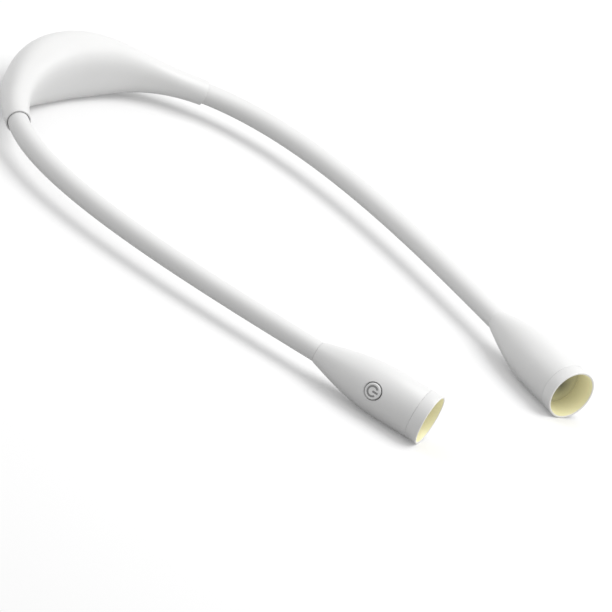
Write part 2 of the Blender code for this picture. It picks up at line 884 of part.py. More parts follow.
def make_light_parts(side_name, frame):
    levels = head_levels()
    stack_radius = head_radius - head_wall - gap
    bore = lead_radius + gap
    carrier = turned(
        [
            (levels["carrier"], bore),
            (levels["carrier"], stack_radius),
            (levels["carrier_end"], stack_radius),
            (levels["carrier_end"], bore),
        ],
        head_sides,
        solid=False,
    )
    piece(f"light_carrier_{side_name}", carrier, "aluminium", frame)
    board = rod(stack_radius, levels["board"], levels["board_end"], head_sides)
    piece(f"light_board_{side_name}", board, "circuit_board", frame)
    top = levels["reflector"] + led_height
    led = turned(
        [
            (levels["reflector"], 0),
            (levels["reflector"], led_radius),
            (levels["reflector"] + led_height / 2, led_radius),
            (top - led_height / 8, led_radius * 0.6),
            (top, 0),
        ],
        small_sides,
    )
    piece(f"led_{side_name}", led, "led_warm", frame)
    hole = led_radius + gap
    mouth = stack_radius - reflector_mouth_wall
    reflector = turned(
        [
            (levels["reflector"], hole),
            (levels["reflector"], hole + reflector_wall),
            (levels["reflector_end"] - reflector_wall, stack_radius),
            (levels["reflector_end"], stack_radius),
            (levels["reflector_end"], mouth),
            (levels["reflector"] + reflector_wall, hole),
        ],
        head_sides,
        solid=False,
    )
    piece(f"reflector_{side_name}", reflector, "reflector_white", frame)
    crown = levels["lens"] + lens_thickness
    dome = [
        (levels["lens_end"] + (crown - levels["lens_end"]) * (1 - share**2), share)
        for share in (0.9, 0.6, 0.3)
    ]
    lens = [(levels["lens"], 0), (levels["lens"], stack_radius), (levels["lens_end"], stack_radius)]
    lens += [(along, share * (bezel_throat_radius - gap)) for along, share in dome]
    lens += [(crown, 0)]
    piece(f"lens_{side_name}", turned(lens, head_sides), "clear_lens", frame)
    bezel = turned(
        [
            (levels["bezel"], stack_radius),
            (levels["bezel"], head_radius),
            (head_length - rim_chamfer_length, head_radius),
            (head_length, head_radius - rim_chamfer_width),
            (head_length, bezel_mouth_radius + rim_chamfer_width),
            (head_length - rim_chamfer_length, bezel_mouth_radius),
            (levels["bezel_throat"] + (head_length - levels["bezel_throat"]) / 3,
             (bezel_mouth_radius + 2 * bezel_throat_radius) / 3),
            (levels["bezel_throat"], bezel_throat_radius),
            (levels["bezel_throat"], stack_radius),
        ],
        head_sides,
        solid=False,
    )
    piece(f"bezel_{side_name}", bezel, "white_plastic", frame)


def make_button(side_name, frame, button_frame, slide_frame):
    """The cap and the switch's plunger move together; the switch and its board stay."""
    levels = button_levels()
    cap = turned(
        [
            (0, 0),
            (0, button_radius - button_round),
            (-button_round * 0.3, button_radius - button_round * 0.3),
            (-button_round, button_radius),
            (-levels["lip"], button_radius),
            (-levels["lip"], lip_radius),
            (-levels["lip_back"], lip_radius),
            (-levels["lip_back"], stem_radius),
            (-levels["stem_end"], stem_radius),
            (-levels["stem_end"], 0),
        ],
        head_sides,
    )
    piece(f"button_{side_name}", cap, "white_plastic", slide_frame)
    plunger = rod(plunger_radius, -levels["plunger_end"], -levels["plunger_top"])
    piece(f"switch_plunger_{side_name}", plunger, "switch_black", slide_frame)
    half = switch_size / 2
    switch = block(
        (-levels["switch_end"], -half, -half), (-levels["switch_top"], half, half)
    )
    switch = piece(f"switch_{side_name}", switch, "switch_black", button_frame)
    well = rod(plunger_radius + gap, -levels["switch_hole"], -levels["switch_top"] + overrun)
    cut(switch, helper(f"plunger_well_{side_name}", well, button_frame))
    board = block(
        (-levels["board_end"], -switch_board_length / 2, -switch_board_width / 2),
        (-levels["board_top"], switch_board_length / 2, switch_board_width / 2),
    )
    piece(f"switch_board_{side_name}", board, "circuit_board", button_frame)


def make_head(side_name, side, carrier):
    to_local = carrier.matrix_world.inverted()
    frame = empty(f"head_frame_{side_name}", carrier, to_local @ head_frame_matrix(side))
    button_matrix = button_frame_matrix(side)
    button_frame = empty(f"switch_frame_{side_name}", frame, button_matrix)
    slide_frame = empty(f"button_slide_{side_name}", frame, button_matrix)
    make_head_shell(side_name, frame, button_frame)
    make_light_parts(side_name, frame)
    make_button(side_name, frame, button_frame, slide_frame)
    start = ferrule_pocket_start + gap
    ferrule = turned(
        [
            (start, core_radius + gap),
            (start, ferrule_radius),
            (start + ferrule_length, ferrule_radius),
            (start + ferrule_length, core_radius + gap),
        ],
        small_sides,
        solid=False,
    )
    piece(f"head_ferrule_{side_name}", ferrule, "steel", frame)


def make_hinges(side_name, side):
    """A chain of unseen pivots along the arm, turning in plan and upright by turns."""
    pivots = []
    parent = None
    for index, distance in enumerate(hinge_distances()):
        point, heading = arm_place(side, distance)
        axis = Vector((0, 0, side)) if index % 2 == 0 else heading.cross(up)
        turn = up.rotation_difference(axis).to_matrix().to_4x4()
        world = Matrix.Translation(point) @ turn
        local = parent.matrix_world.inverted() @ world if parent else world
        pivots.append(empty(f"hinge_{side_name}_{index + 1}", parent, local))
        bpy.context.view_layer.update()
        parent = pivots[-1]
    return pivots


def main():
    clear_scene()
    make_housing_shell()
    make_bottom_cover()
    make_housing_contents()
    for side_name, side in sides.items():
        pivots = make_hinges(side_name, side)
        make_arm(side_name, side, [None, *pivots])
        make_head(side_name, side, pivots[-1])


main()
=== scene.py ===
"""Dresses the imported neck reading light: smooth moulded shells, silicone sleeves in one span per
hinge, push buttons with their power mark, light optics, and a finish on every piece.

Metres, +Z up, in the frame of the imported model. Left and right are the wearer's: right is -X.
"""

import json
import math

import bmesh
import bpy
from bpy.props import FloatProperty, FloatVectorProperty, IntProperty, PointerProperty
from mathutils import Matrix, Vector
from mathutils.geometry import interpolate_bezier


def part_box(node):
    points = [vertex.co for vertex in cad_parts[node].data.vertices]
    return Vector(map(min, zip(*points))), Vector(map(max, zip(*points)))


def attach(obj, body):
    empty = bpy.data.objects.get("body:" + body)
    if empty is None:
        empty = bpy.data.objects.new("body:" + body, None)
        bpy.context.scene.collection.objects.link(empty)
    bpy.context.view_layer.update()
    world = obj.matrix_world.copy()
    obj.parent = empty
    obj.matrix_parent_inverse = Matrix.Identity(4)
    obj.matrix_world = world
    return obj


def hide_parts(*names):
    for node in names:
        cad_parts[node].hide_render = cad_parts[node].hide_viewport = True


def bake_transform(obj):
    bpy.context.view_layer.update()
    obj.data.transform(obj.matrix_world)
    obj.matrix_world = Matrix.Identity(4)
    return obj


bl_info = {
    "name": "Neck Reading Light",
    "version": (1, 0, 0),
    "blender": (4, 5, 0),
    "location": "3D View > Sidebar > Reading Light",
    "description": "Dresses the packed neck reading light and sets it on a plain stage",
    "category": "Add Mesh",
}

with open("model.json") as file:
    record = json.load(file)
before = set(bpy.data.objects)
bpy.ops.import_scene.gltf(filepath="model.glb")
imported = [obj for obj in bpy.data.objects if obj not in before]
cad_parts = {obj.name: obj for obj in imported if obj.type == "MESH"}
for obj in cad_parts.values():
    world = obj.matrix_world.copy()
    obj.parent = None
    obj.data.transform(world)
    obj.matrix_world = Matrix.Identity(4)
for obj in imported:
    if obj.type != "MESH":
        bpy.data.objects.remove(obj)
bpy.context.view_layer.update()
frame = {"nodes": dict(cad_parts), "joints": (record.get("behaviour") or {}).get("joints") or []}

UP = Vector((0, 0, 1))
WHITE = (1, 1, 1, 1)
SIDES = {"right": -1, "left": 1}
SCREWS = range(1, 5)

# The room between pieces that fit into each other, how far a cutter reaches past what it cuts,
# the distance at which two points become one, and the angle from which an edge stays sharp.
GAP = 0.0003
OVERRUN = 0.002
WELD = 0.000001
SHARP = math.radians(35)


def frame_height(node):
    """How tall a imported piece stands."""
    low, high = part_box(node)
    return high.z - low.z


def length(name, description, default):
    return FloatProperty(
        name=name, description=description, default=default, min=0, unit="LENGTH", precision=5
    )


def number(name, description, default, **limits):
    return FloatProperty(name=name, description=description, default=default, **limits)


def whole(name, description, default, least):
    return IntProperty(name=name, description=description, default=default, min=least)


def colour(name, description, default):
    return FloatVectorProperty(
        name=name, description=description, default=default, size=3, subtype="COLOR", min=0, max=1
    )


def angle(name, description, degrees):
    return FloatProperty(
        name=name, description=description, default=math.radians(degrees), subtype="ANGLE"
    )


class HousingSizes(bpy.types.PropertyGroup):
    """Sizes of the crescent battery housing."""

    arc_radius: length("Arc radius", "Radius of the crescent's middle line", 0.1036)
    half_angle: angle("Half angle", "From the crescent's middle to one end", 48)
    depth: length("Depth", "From the neck side to the outside at the middle", 0.02744)
    rise: length("Rise", "Height of the dome over the middle line", 0.01723)
    drop: length("Drop", "Reach of the foot under the middle line", 0.0132)
    end_radius: length("End radius", "Radius of the round ends", 0.006)
    dome_roundness: number("Dome roundness", "Exponent of the dome's section", 2.15, min=2)
    shoulder_roundness: number("Shoulder roundness", "The same on the neck's side", 3.2, min=2)
    foot_roundness: number("Foot roundness", "Exponent of the foot's section", 3.5, min=2)
    bulk_power: number("Bulk", "How far the bulk reaches towards the ends", 1.2)
    depth_power: number("Depth power", "How fast the depth falls off", 3.5)
    rise_power: number("Rise power", "How fast the dome falls off", 2.5)
    drop_power: number("Drop power", "How fast the foot falls off", 2.3)
    wall: length("Wall", "Thickness of the moulded wall", 0.0018)
    end_round: length("End round", "Radius on the rims of the ends", 0.0003)
    cover_share: number("Cover share", "Width of the cover as a share of the depth", 0.74)
    cover_reach: length("Cover reach", "From the middle to the cover's end", 0.0561)
    socket_depth: length("Socket depth", "How far each arm goes in", 0.010)
    stop_wall: length("Stop wall", "Wall behind each arm's socket", 0.0025)
    socket_gap: length("Socket gap", "Space around the sleeve in its socket", 0.0003)
    rings: whole("Rings", "Sections along the shell", 97, least=9)
    points: whole("Points", "Points on each section", 72, least=12)


class ArmSizes(bpy.types.PropertyGroup):
    """Sizes and route of the two bendable arms."""

    sleeve_radius: length("Sleeve radius", "Outside of the silicone sleeve", 0.005)
    sleeve_bore: length("Sleeve bore", "Room inside the sleeve for bending", 0.004)
    core_radius: length("Core radius", "Outside of the steel gooseneck", 0.0028)
    lead_radius: length("Lead radius", "Outside of the lead", 0.0009)
    head_across: length("Head across", "Neck joint's distance from the middle", 0.0755)
    head_forward: length("Head forward", "Neck joint's distance in front", 0.2265)
    toe_in: angle("Toe-in", "Turn of each head towards the middle", 15)
    start_handle: length("Start handle", "Pull of the curve at the housing", 0.055)
    end_handle: length("End handle", "Pull of the curve at the head", 0.0742)
    bend_room: length("Bend room", "Sleeve that bends on each side of a hinge", 0.012)
    ring_step: length("Ring step", "Spacing of the sleeve's rings", 0.002)
    sides: whole("Sides", "Facets round the sleeve", 40, least=8)


class HeadSizes(bpy.types.PropertyGroup):
    """Sizes of the torch heads and their buttons."""

    radius: length("Radius", "Outside of the mouth", frame_height("bezel_right") / 2)
    length: length("Length", "From the neck joint to the mouth", 0.06168)
    neck_radius: length("Neck radius", "Outside at the neck joint", 0.0052)
    flare_share: number("Flare share", "Share of the length that flares", 0.648)
    wall: length("Wall", "Thickness of the bell", 0.0015)
    seat_step: length("Seat step", "Inward step that the light parts rest on", 0.0008)
    seat_length: length("Seat length", "Length of that step", 0.002)
    seat_offset: length("Seat offset", "From the flare's end to that step's face", 0.0013)
    bezel_length: length("Bezel length", "Length of the bezel that shows", 0.0062)
    rim_width: length("Rim width", "Width of the mouth's rim", 0.0009)
    throat_step: length("Throat step", "How far the bezel narrows inside", 0.0015)
    rim_round: length("Rim round", "Radius on the rim", 0.0003)
    seam: length("Seam", "Hairline gap that shows where two pieces meet", 0.00008)
    lens_edge: length("Lens edge", "Thickness of the lens at its edge", 0.0012)
    seam_round: length("Seam round", "Softening of the edges at a seam", 0.0001)
    button_share: number("Button share", "Place of the button along the flare", 0.843)
    button_raise: angle("Button raise", "How far the button sits above the head's side", 11.6)
    button_radius: length("Button radius", "Outside of the button", 0.0039)
    button_gap: length("Button gap", "Slit around the button", 0.00045)
    button_valley: length("Button valley", "Widening of that slit at the surface", 0.0009)
    button_stand: length("Button stand", "How far the button's face stands out", 0.00015)
    button_round: length("Button round", "Radius on the button's edge", 0.0006)
    dish_radius: length("Dish radius", "Hollow in the button's face", 0.0033)
    dish_depth: length("Dish depth", "Depth of that hollow", 0.0001)
    mark_radius: length("Mark radius", "Middle of the power mark's ring", 0.0024)
    mark_width: length("Mark width", "Stroke of the power mark", 0.0009)
    mark_gap: angle("Mark gap", "Opening in the power mark's ring", 76)
    sides: whole("Sides", "Facets round the head", 96, least=12)


class LightColours(bpy.types.PropertyGroup):
    """Colours of the light's finishes."""

    plastic: colour("Plastic", "Satin white shells", (0.86, 0.86, 0.855))
    silicone: colour("Silicone", "Soft white sleeves", (0.85, 0.85, 0.845))
    mark: colour("Mark", "Grey of the power mark", (0.28, 0.28, 0.28))
    glow: colour("Glow", "Warm light of the LEDs", (1.0, 0.89, 0.58))
    # Painted glow: the colour painted on the mouth's rim, which is no lamp.
    rim: colour("Rim", "Light that the rim of the mouth passes on", (1.0, 0.95, 0.80))
    # Painted shade and painted warm light: the lens is darkened and tinted so that it reads as the
    # deep, lit mouth.
    lens: colour("Lens", "Milky lens", (0.60, 0.585, 0.38))
    # Painted warm light: white plastic inside the mouth, tinted as if lit by the LEDs.
    painted_warm_cup: colour("Cup", "Warm inside of the mouth", (0.78, 0.76, 0.48))


class StageSettings(bpy.types.PropertyGroup):
    """Camera, floor and lights."""

    azimuth: angle("Azimuth", "Camera's turn about the light", -63.06)
    elevation: angle("Elevation", "Camera's height above the floor", 22.05)
    roll: angle("Roll", "Camera's tilt about its own axis", 26.9)
    pixel: length("Pixel", "Size of one pixel of the photograph at the light", 0.001 / 2.145)
    frame_pixels: whole("Frame", "Width of the photograph", 612, least=1)
    joint_pixel_x: number("Joint column", "Pixel column midway between the sockets", 111.80)
    joint_pixel_y: number("Joint row", "Pixel row midway between the sockets", 107.38)
    lens: number("Lens", "Focal length in mm", 1500)
    overhead_power: number("Overhead", "Power of the softbox overhead", 16.0)
    back_power: number("Back", "Power of the softbox behind the housing", 4.8)
    sky_strength: number("Sky", "Even light all round", 0.61)
    bounce_shade: number("Bounce", "Paleness of the floor as it lights the piece", 0.45)
    floor_shade: number("Floor shade", "Paleness of the floor as the camera sees it", 0.77)
    floor_lift: number("Floor lift", "Brightness added where the camera sees the floor", 0.21)


class Value:
    """A socket of a node tree, which can be reckoned with as a number."""

    def __init__(self, tree, socket):
        self.tree = tree
        self.socket = socket

    def reckon(self, operation, first, second):
        return self.tree.node("Math", {"operation": operation}, {0: first, 1: second})

    def __add__(self, other):
        return self.reckon("ADD", self, other)

    def __radd__(self, other):
        return self.reckon("ADD", other, self)

    def __sub__(self, other):
        return self.reckon("SUBTRACT", self, other)

    def __rsub__(self, other):
        return self.reckon("SUBTRACT", other, self)

    def __mul__(self, other):
        return self.reckon("MULTIPLY", self, other)

    def __rmul__(self, other):
        return self.reckon("MULTIPLY", other, self)


class Tree:
    """The nodes of a material or of the surroundings, under construction."""

    def __init__(self, owner):
        owner.use_nodes = True
        self.owner = owner
        self.nodes = owner.node_tree.nodes
        self.links = owner.node_tree.links
        self.nodes.clear()

    def node(self, kind, settings=None, sockets=None, output=0):
        """Adds a node, sets it up and returns one of its outputs."""
        made = self.nodes.new("ShaderNode" + kind)
        for key, value in (settings or {}).items():
            setattr(made, key, value)
        for key, value in (sockets or {}).items():
            if isinstance(value, Value):
                self.links.new(value.socket, made.inputs[key])
            else:
                made.inputs[key].default_value = value
        return Value(self, made.outputs[output])

    def seen(self):
        """1 for what the camera sees straight, in a mirror or through glass, and 0 for other
        rays."""
        straight, mirrored, through = [
            self.node("LightPath", output=f"Is {kind} Ray")
            for kind in ("Camera", "Glossy", "Transmission")
        ]
        settings = {"operation": "ADD", "use_clamp": True}
        return self.node("Math", settings, {0: straight + mirrored, 1: through})

    def finished(self, surface, output="OutputMaterial"):
        """Ends the tree, and returns what it belongs to."""
        end = self.nodes.new("ShaderNode" + output)
        self.links.new(surface.socket, end.inputs["Surface"])
        return self.owner


class Finish(Tree):
    """A piece's material under construction."""

    def __init__(self, name):
        super().__init__(bpy.data.materials.new(name))
        self.place = self.node("TexCoord", output="Object")

    def noise(self, scale, detail):
        sockets = {"Vector": self.place, "Scale": scale, "Detail": detail}
        return self.node("TexNoise", None, sockets, "Fac")

    def mix(self, share, first, second):
        """A colour between two others."""
        return self.node("Mix", {"data_type": "RGBA"}, {0: share, 6: first, 7: second}, 2)

    def tones(self, share, tint, low, high):
        """A tint that runs from one strength to another."""
        return self.mix(share, shaded(tint, low), shaded(tint, high))

    def framed(self, matrix):
        """The place on a piece, measured in a frame such as a head's."""
        turn = matrix.to_euler()
        sockets = {"Vector": self.place, "Location": matrix.translation, "Rotation": turn}
        return self.node("Mapping", {"vector_type": "TEXTURE"}, sockets)

    def nearing(self, matrix, start, end):
        """0 at one place along a frame's X axis, and 1 at another."""
        along = self.node("SeparateXYZ", None, {"Vector": self.framed(matrix)}, "X")
        return (along - start) * (1 / (end - start))

    def bump(self, height, strength, distance):
        sockets = {"Height": height, "Strength": strength, "Distance": distance}
        return self.node("Bump", None, sockets)

    def principled(self, **sockets):
        """The finished material, given the values and links of its one shader."""
        named = {key.replace("_", " "): value for key, value in sockets.items()}
        return self.finished(self.node("BsdfPrincipled", None, named))


def shaded(tint, factor):
    """A colour made lighter or darker, with full opacity."""
    return (*[min(part * factor, 1) for part in tint[:3]], 1)


def moulded_plastic(name, tint, roughness=0.36, grain=0.05, rim=None):
    """Satin moulded plastic: faint cloudiness, uneven gloss and a fine spark-eroded grain.
    A rim, given as its frame, its place and its glow, gets a painted glow that grows towards the
    mouth's face."""
    finish = Finish(name)
    cloud = finish.noise(scale=45, detail=3)
    fine = finish.noise(scale=1400, detail=2)
    light = {}
    # Painted glow on the rim, though it is no lamp: emission that grows over its last half
    # millimetre.
    if rim:
        matrix, place, glow = rim
        painted_glow_depth = 0.0005
        share = finish.nearing(matrix, place - painted_glow_depth, place)
        light["Emission_Color"] = finish.tones(share, glow, 0, 1)
        light["Emission_Strength"] = 0.14
    return finish.principled(
        Base_Color=finish.tones(cloud, tint, 0.975, 1.02),
        Roughness=cloud * 0.08 + (roughness - 0.04),
        Normal=finish.bump(fine, strength=grain, distance=0.00006),
        Specular_IOR_Level=0.45,
        **light,
    )


def soft_silicone(name, tint):
    """Matt silicone with a velvety edge and a little fine dust."""
    finish = Finish(name)
    cloud = finish.noise(scale=60, detail=3)
    dust = finish.noise(scale=900, detail=4)
    grey = finish.tones(cloud, tint, 0.975, 1.015)
    return finish.principled(
        Base_Color=finish.mix(dust * 0.05, grey, shaded(tint, 0.88)),
        Roughness=dust * 0.10 + 0.44,
        Normal=finish.bump(dust, strength=0.06, distance=0.00005),
        Specular_IOR_Level=0.4,
        Sheen_Weight=0.12,
        Sheen_Roughness=0.5,
    )


def glowing(name, tint, strength):
    """A warm glowing part, a little brighter in places."""
    finish = Finish(name)
    cloud = finish.noise(scale=400, detail=2)
    return finish.principled(
        Base_Color=finish.tones(cloud, tint, 0.9, 1.0),
        Roughness=0.3,
        Emission_Color=finish.tones(cloud, tint, 0.92, 1.0),
        Emission_Strength=strength,
    )


def light_pipe(name, tint):
    """Smooth milky plastic that lets a signal light through."""
    finish = Finish(name)
    cloud = finish.noise(scale=250, detail=2)
    return finish.principled(
        Base_Color=finish.tones(cloud, tint, 0.96, 1.03),
        Roughness=cloud * 0.05 + 0.16,
    )


def painted_light_wall(name, matrix, deep, mouth, colours):
    """The warm wall of a mouth: painted shade deep inside, painted light towards its rim, and a
    painted glow that grows the same way.
    """
    finish = Finish(name)
    cloud = finish.noise(scale=300, detail=2)
    share = finish.nearing(matrix, deep, mouth) + cloud * 0.06
    return finish.principled(
        # Painted shade deep inside the mouth, painted light towards its rim.
        Base_Color=finish.tones(share, colours.painted_warm_cup, 0.75, 1.15),
        Roughness=cloud * 0.06 + 0.3,
        # A painted glow, though the wall is no lamp.
        Emission_Color=finish.tones(share, colours.glow, 0.5, 0.95),
        Emission_Strength=0.2,
    )


def painted_shade_lens(name, matrix, radius, colours):
    """A smooth milky lens with painted shade, dark at its middle and paler towards its edge, and a
    painted glow that grows towards the edge.
    """
    finish = Finish(name)
    cloud = finish.noise(scale=250, detail=2)
    place = {0: finish.framed(matrix), 1: (0, 1, 1)}
    across = finish.node("VectorMath", {"operation": "MULTIPLY"}, place)
    away = finish.node("VectorMath", {"operation": "LENGTH"}, {0: across}, "Value")
    share = away * (1.3 / radius) + cloud * 0.08
    return finish.principled(
        # Painted shade: dark at the middle and paler towards the edge.
        Base_Color=finish.tones(share, colours.lens, 0.2, 0.85),
        Roughness=cloud * 0.05 + 0.2,
        # A painted glow, though the lens is no lamp.
        Emission_Color=finish.tones(share, colours.glow, 0.0, 0.42),
        Emission_Strength=0.14,
    )


def metal(name, tint, roughness, wear=0.15):
    """Bare metal with fine marks and duller patches."""
    finish = Finish(name)
    marks = finish.noise(scale=900, detail=4)
    patches = finish.noise(scale=120, detail=3)
    return finish.principled(
        Base_Color=finish.tones(patches, tint, 1 - wear, 1.0),
        Metallic=1.0,
        Roughness=marks * 0.18 + (roughness - 0.06),
        Normal=finish.bump(marks, strength=0.08, distance=0.00003),
    )


def dull(name, tint, roughness=0.4, scale=500, depth=0.00001, contrast=0.2):
    """A plain inner part such as foam, board or wire: mottled, with a surface to match."""
    finish = Finish(name)
    mottle = finish.noise(scale=scale, detail=4)
    return finish.principled(
        Base_Color=finish.tones(mottle, tint, 1 - contrast, 1 + contrast),
        Roughness=mottle * 0.1 + (roughness - 0.05),
        Normal=finish.bump(mottle, strength=0.3, distance=depth),
    )


def dress(piece, material, body=None, node=None):
    """Gives a new piece its finish and, where they are given, the body that it rides on and
    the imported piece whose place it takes."""
    piece.data.materials.clear()
    piece.data.materials.append(material)
    if body:
        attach(piece, body)
    if node:
        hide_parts(node)


def new_object(name, bm, smooth=True):
    """An object from a finished bmesh, smooth but for its sharp edges."""
    mesh = bpy.data.meshes.new(name)
    bm.to_mesh(mesh)
    bm.free()
    if smooth:
        mesh.shade_smooth()
        mesh.set_sharp_from_angle(angle=SHARP)
    made = bpy.data.objects.new(name, mesh)
    bpy.context.scene.collection.objects.link(made)
    return made


def carve(piece, shapes, kept=()):
    """Cuts each named shape out of a piece, or keeps only what lies inside those in kept."""
    tools = [new_object(name, bm) for name, bm in shapes.items()]
    for name, tool in zip(shapes, tools):
        modifier = piece.modifiers.new(name, "BOOLEAN")
        modifier.operation = "INTERSECT" if name in kept else "DIFFERENCE"
        modifier.solver = "EXACT"
        modifier.object = tool
    bpy.context.view_layer.update()
    graph = bpy.context.evaluated_depsgraph_get()
    carved = bpy.data.meshes.new_from_object(piece.evaluated_get(graph))
    carved.name = piece.name
    piece.modifiers.clear()
    piece.data = carved
    carved.shade_smooth()
    carved.set_sharp_from_angle(angle=SHARP)
    for tool in tools:
        bpy.data.objects.remove(tool)


def ring_edges(verts):
    return list({edge for vert in verts for edge in vert.link_edges})


def bridged(bm, rings, endless=False):
    """Joins rings of edges in turn, then caps the ends or, if endless, joins them too."""
    following = rings[1:] + rings[:1] if endless else rings[1:]
    for first, second in zip(rings, following):
        bmesh.ops.bridge_loops(bm, edges=first + second)
    if not endless:
        bmesh.ops.contextual_create(bm, geom=rings[0])
        bmesh.ops.contextual_create(bm, geom=rings[-1])
    bmesh.ops.recalc_face_normals(bm, faces=bm.faces)
    return bm


def turned(outline, sides, closed=False, sweep=math.tau):
    """Turns an outline of (along, radius) points about the X axis. A closed outline makes a
    ring; an open one starts and ends on the axis."""
    bm = bmesh.new()
    verts = [bm.verts.new((along, 0, radius)) for along, radius in outline]
    pairs = list(zip(verts, verts[1:]))
    if closed:
        pairs.append((verts[-1], verts[0]))
    edges = [bm.edges.new(pair) for pair in pairs]
    full = sweep >= math.tau
    bmesh.ops.spin(
        bm,
        geom=verts + edges,
        cent=(0, 0, 0),
        axis=(1, 0, 0),
        dvec=(0, 0, 0),
        angle=sweep,
        steps=sides,
        use_merge=full,
    )
    bmesh.ops.remove_doubles(bm, verts=bm.verts, dist=WELD)
    if not full:
        ends = [edge for edge in bm.edges if edge.is_boundary]
        bmesh.ops.holes_fill(bm, edges=ends)
    bmesh.ops.recalc_face_normals(bm, faces=bm.faces)
    return bm


def bevelled(bm, edges, offset, segments):
    """Rounds edges, or cuts them at a slant with one segment."""
    bmesh.ops.bevel(
        bm, geom=edges, offset=offset, affect="EDGES", segments=segments, profile=0.5, material=-1
    )
    return bm


def box_mesh(low, high):
    """A box between two corners."""
    bm = bmesh.new()
    bmesh.ops.create_cube(bm, size=1)
    size = Vector(high) - Vector(low)
    bmesh.ops.scale(bm, vec=size, verts=bm.verts)
    bmesh.ops.translate(bm, vec=Vector(low) + size / 2, verts=bm.verts)
    return bm


def edges_along_y(bm):
    """The edges of a box that run along Y."""
    return [e for e in bm.edges if abs((e.verts[0].co - e.verts[1].co).normalized().y) > 0.9]


def placed(bm, matrix):
    bmesh.ops.transform(bm, matrix=matrix, verts=bm.verts)
    return bm


def arc(centre_along, centre_radius, radius, start, end, steps):
    """Points of a rounded corner in an (along, radius) outline, between two angles."""
    turns = [start + (end - start) * step / steps for step in range(steps + 1)]
    return [
        (centre_along + radius * math.cos(t), centre_radius + radius * math.sin(t))
        for t in turns
    ]


def softened(place, radius, soft, way):
    """Points of a softened corner in an outline, from the face at a place to the side, which
    lies in front of the face if way is 1 and behind it if way is -1."""
    part = soft * 0.3
    middle = (place + way * part, radius - part)
    return [(place, radius - soft), middle, (place + way * soft, radius)]


def axes(x, y, z, place):
    """A frame with these axes at a place."""
    matrix = Matrix((x, y, z)).transposed().to_4x4()
    matrix.translation = place
    return matrix


# The crescent


def swell(turn, power=1):
    """1 at the middle of the crescent and 0 at its ends."""
    sizes = bpy.context.scene.housing_sizes
    share = min(abs(turn) / sizes.half_angle, 1)
    return max(math.cos(math.pi / 2 * share**sizes.bulk_power), 0) ** power


def crescent_point(turn, across, height):
    """across runs outwards from the crescent's middle line, away from the neck."""
    arc_radius = bpy.context.scene.housing_sizes.arc_radius
    radius = arc_radius + across
    return Vector((radius * math.sin(turn), radius * math.cos(turn) - arc_radius, height))


def axis_height():
    """How high the middle lines of the arms and the heads lie."""
    return bpy.context.scene.head_sizes.radius


def half_depth(turn, inset=0.0):
    sizes = bpy.context.scene.housing_sizes
    end = sizes.end_radius
    return end + (sizes.depth / 2 - end) * swell(turn, sizes.depth_power) - inset


def section_half(turn, over, neckward, inset):
    """The reach and the exponent of the section over or under its middle line."""
    sizes = bpy.context.scene.housing_sizes
    end = sizes.end_radius
    full = sizes.rise if over else sizes.drop
    fall = sizes.rise_power if over else sizes.drop_power
    dome = sizes.shoulder_roundness if neckward else sizes.dome_roundness
    roundness = dome if over else sizes.foot_roundness
    reach = end + (full - end) * swell(turn, fall) - inset
    return reach, 2 + (roundness - 2) * swell(turn)


def section_ring(bm, turn, inset, end_inset):
    """One section of the housing as a ring of edges, with the underside kept flat."""
    points = bpy.context.scene.housing_sizes.points
    verts = bmesh.ops.create_circle(bm, segments=points, radius=1)["verts"]
    for vert in verts:
        x, y = vert.co.x, vert.co.y
        reach, roundness = section_half(turn, y > 0, x < 0, inset)
        power = 2 / roundness
        across = math.copysign(abs(x) ** power, x) * (half_depth(turn, inset) - end_inset)
        rise = math.copysign(abs(y) ** power, y) * (reach - end_inset)
        vert.co = crescent_point(turn, across, max(axis_height() + rise, inset))
    return ring_edges(verts)


def crescent_body(last_turn, inset=0.0, end_round=0.0):
    """The crescent or, with an inset, its hollow. A radius rounds its end rims."""
    sizes = bpy.context.scene.housing_sizes
    bm = bmesh.new()
    count = sizes.rings
    straight = last_turn - end_round / sizes.arc_radius
    stations = [(straight * (2 * i / (count - 1) - 1), 0.0) for i in range(count)]
    if end_round:
        ends = []
        for share in (0.3, 0.6, 0.8, 0.93, 1.0):
            drop = end_round * (1 - math.sqrt(1 - share**2))
            ends.append((straight + end_round * share / sizes.arc_radius, drop))
        stations = [(-turn, drop) for turn, drop in ends[::-1]] + stations + ends
    rings = [section_ring(bm, turn, inset, drop) for turn, drop in stations]
    return bridged(bm, rings)


def cover_prism(grow):
    """An upright prism over the cover's outline, from under the light to its axis."""
    sizes = bpy.context.scene.housing_sizes
    last = (sizes.cover_reach + grow) / sizes.arc_radius
    bm = bmesh.new()
    steps = sizes.rings - 1
    verts = []
    for way in (1, -1):
        for i in range(steps + 1):
            turn = way * last * (2 * i / steps - 1)
            across = way * (sizes.cover_share * half_depth(turn) + grow)
            verts.append(bm.verts.new(crescent_point(turn, across, -OVERRUN)))
    face = bm.faces.new(verts)
    walls = bmesh.ops.extrude_face_region(bm, geom=[face])["geom"]
    raised = [item for item in walls if isinstance(item, bmesh.types.BMVert)]
    bmesh.ops.translate(bm, vec=(0, 0, axis_height() + OVERRUN), verts=raised)
    bmesh.ops.recalc_face_normals(bm, faces=bm.faces)
    return bm


# The arms


def arm_curve():
    """The points of an arm's middle line and how far along it each one lies."""
    sizes = bpy.context.scene.arm_sizes
    half = bpy.context.scene.housing_sizes.half_angle
    start = crescent_point(half, 0, axis_height())
    leave = Vector((math.cos(half), -math.sin(half), 0))
    end = Vector((sizes.head_across, -sizes.head_forward, axis_height()))
    arrive = Vector((-math.sin(sizes.toe_in), -math.cos(sizes.toe_in), 0))
    first = start + leave * sizes.start_handle
    second = end - arrive * sizes.end_handle
    resolution = 160
    points = interpolate_bezier(start, first, second, end, resolution)
    distances = [0.0]
    for before, after in zip(points, points[1:]):
        distances.append(distances[-1] + (after - before).length)
    return points, distances


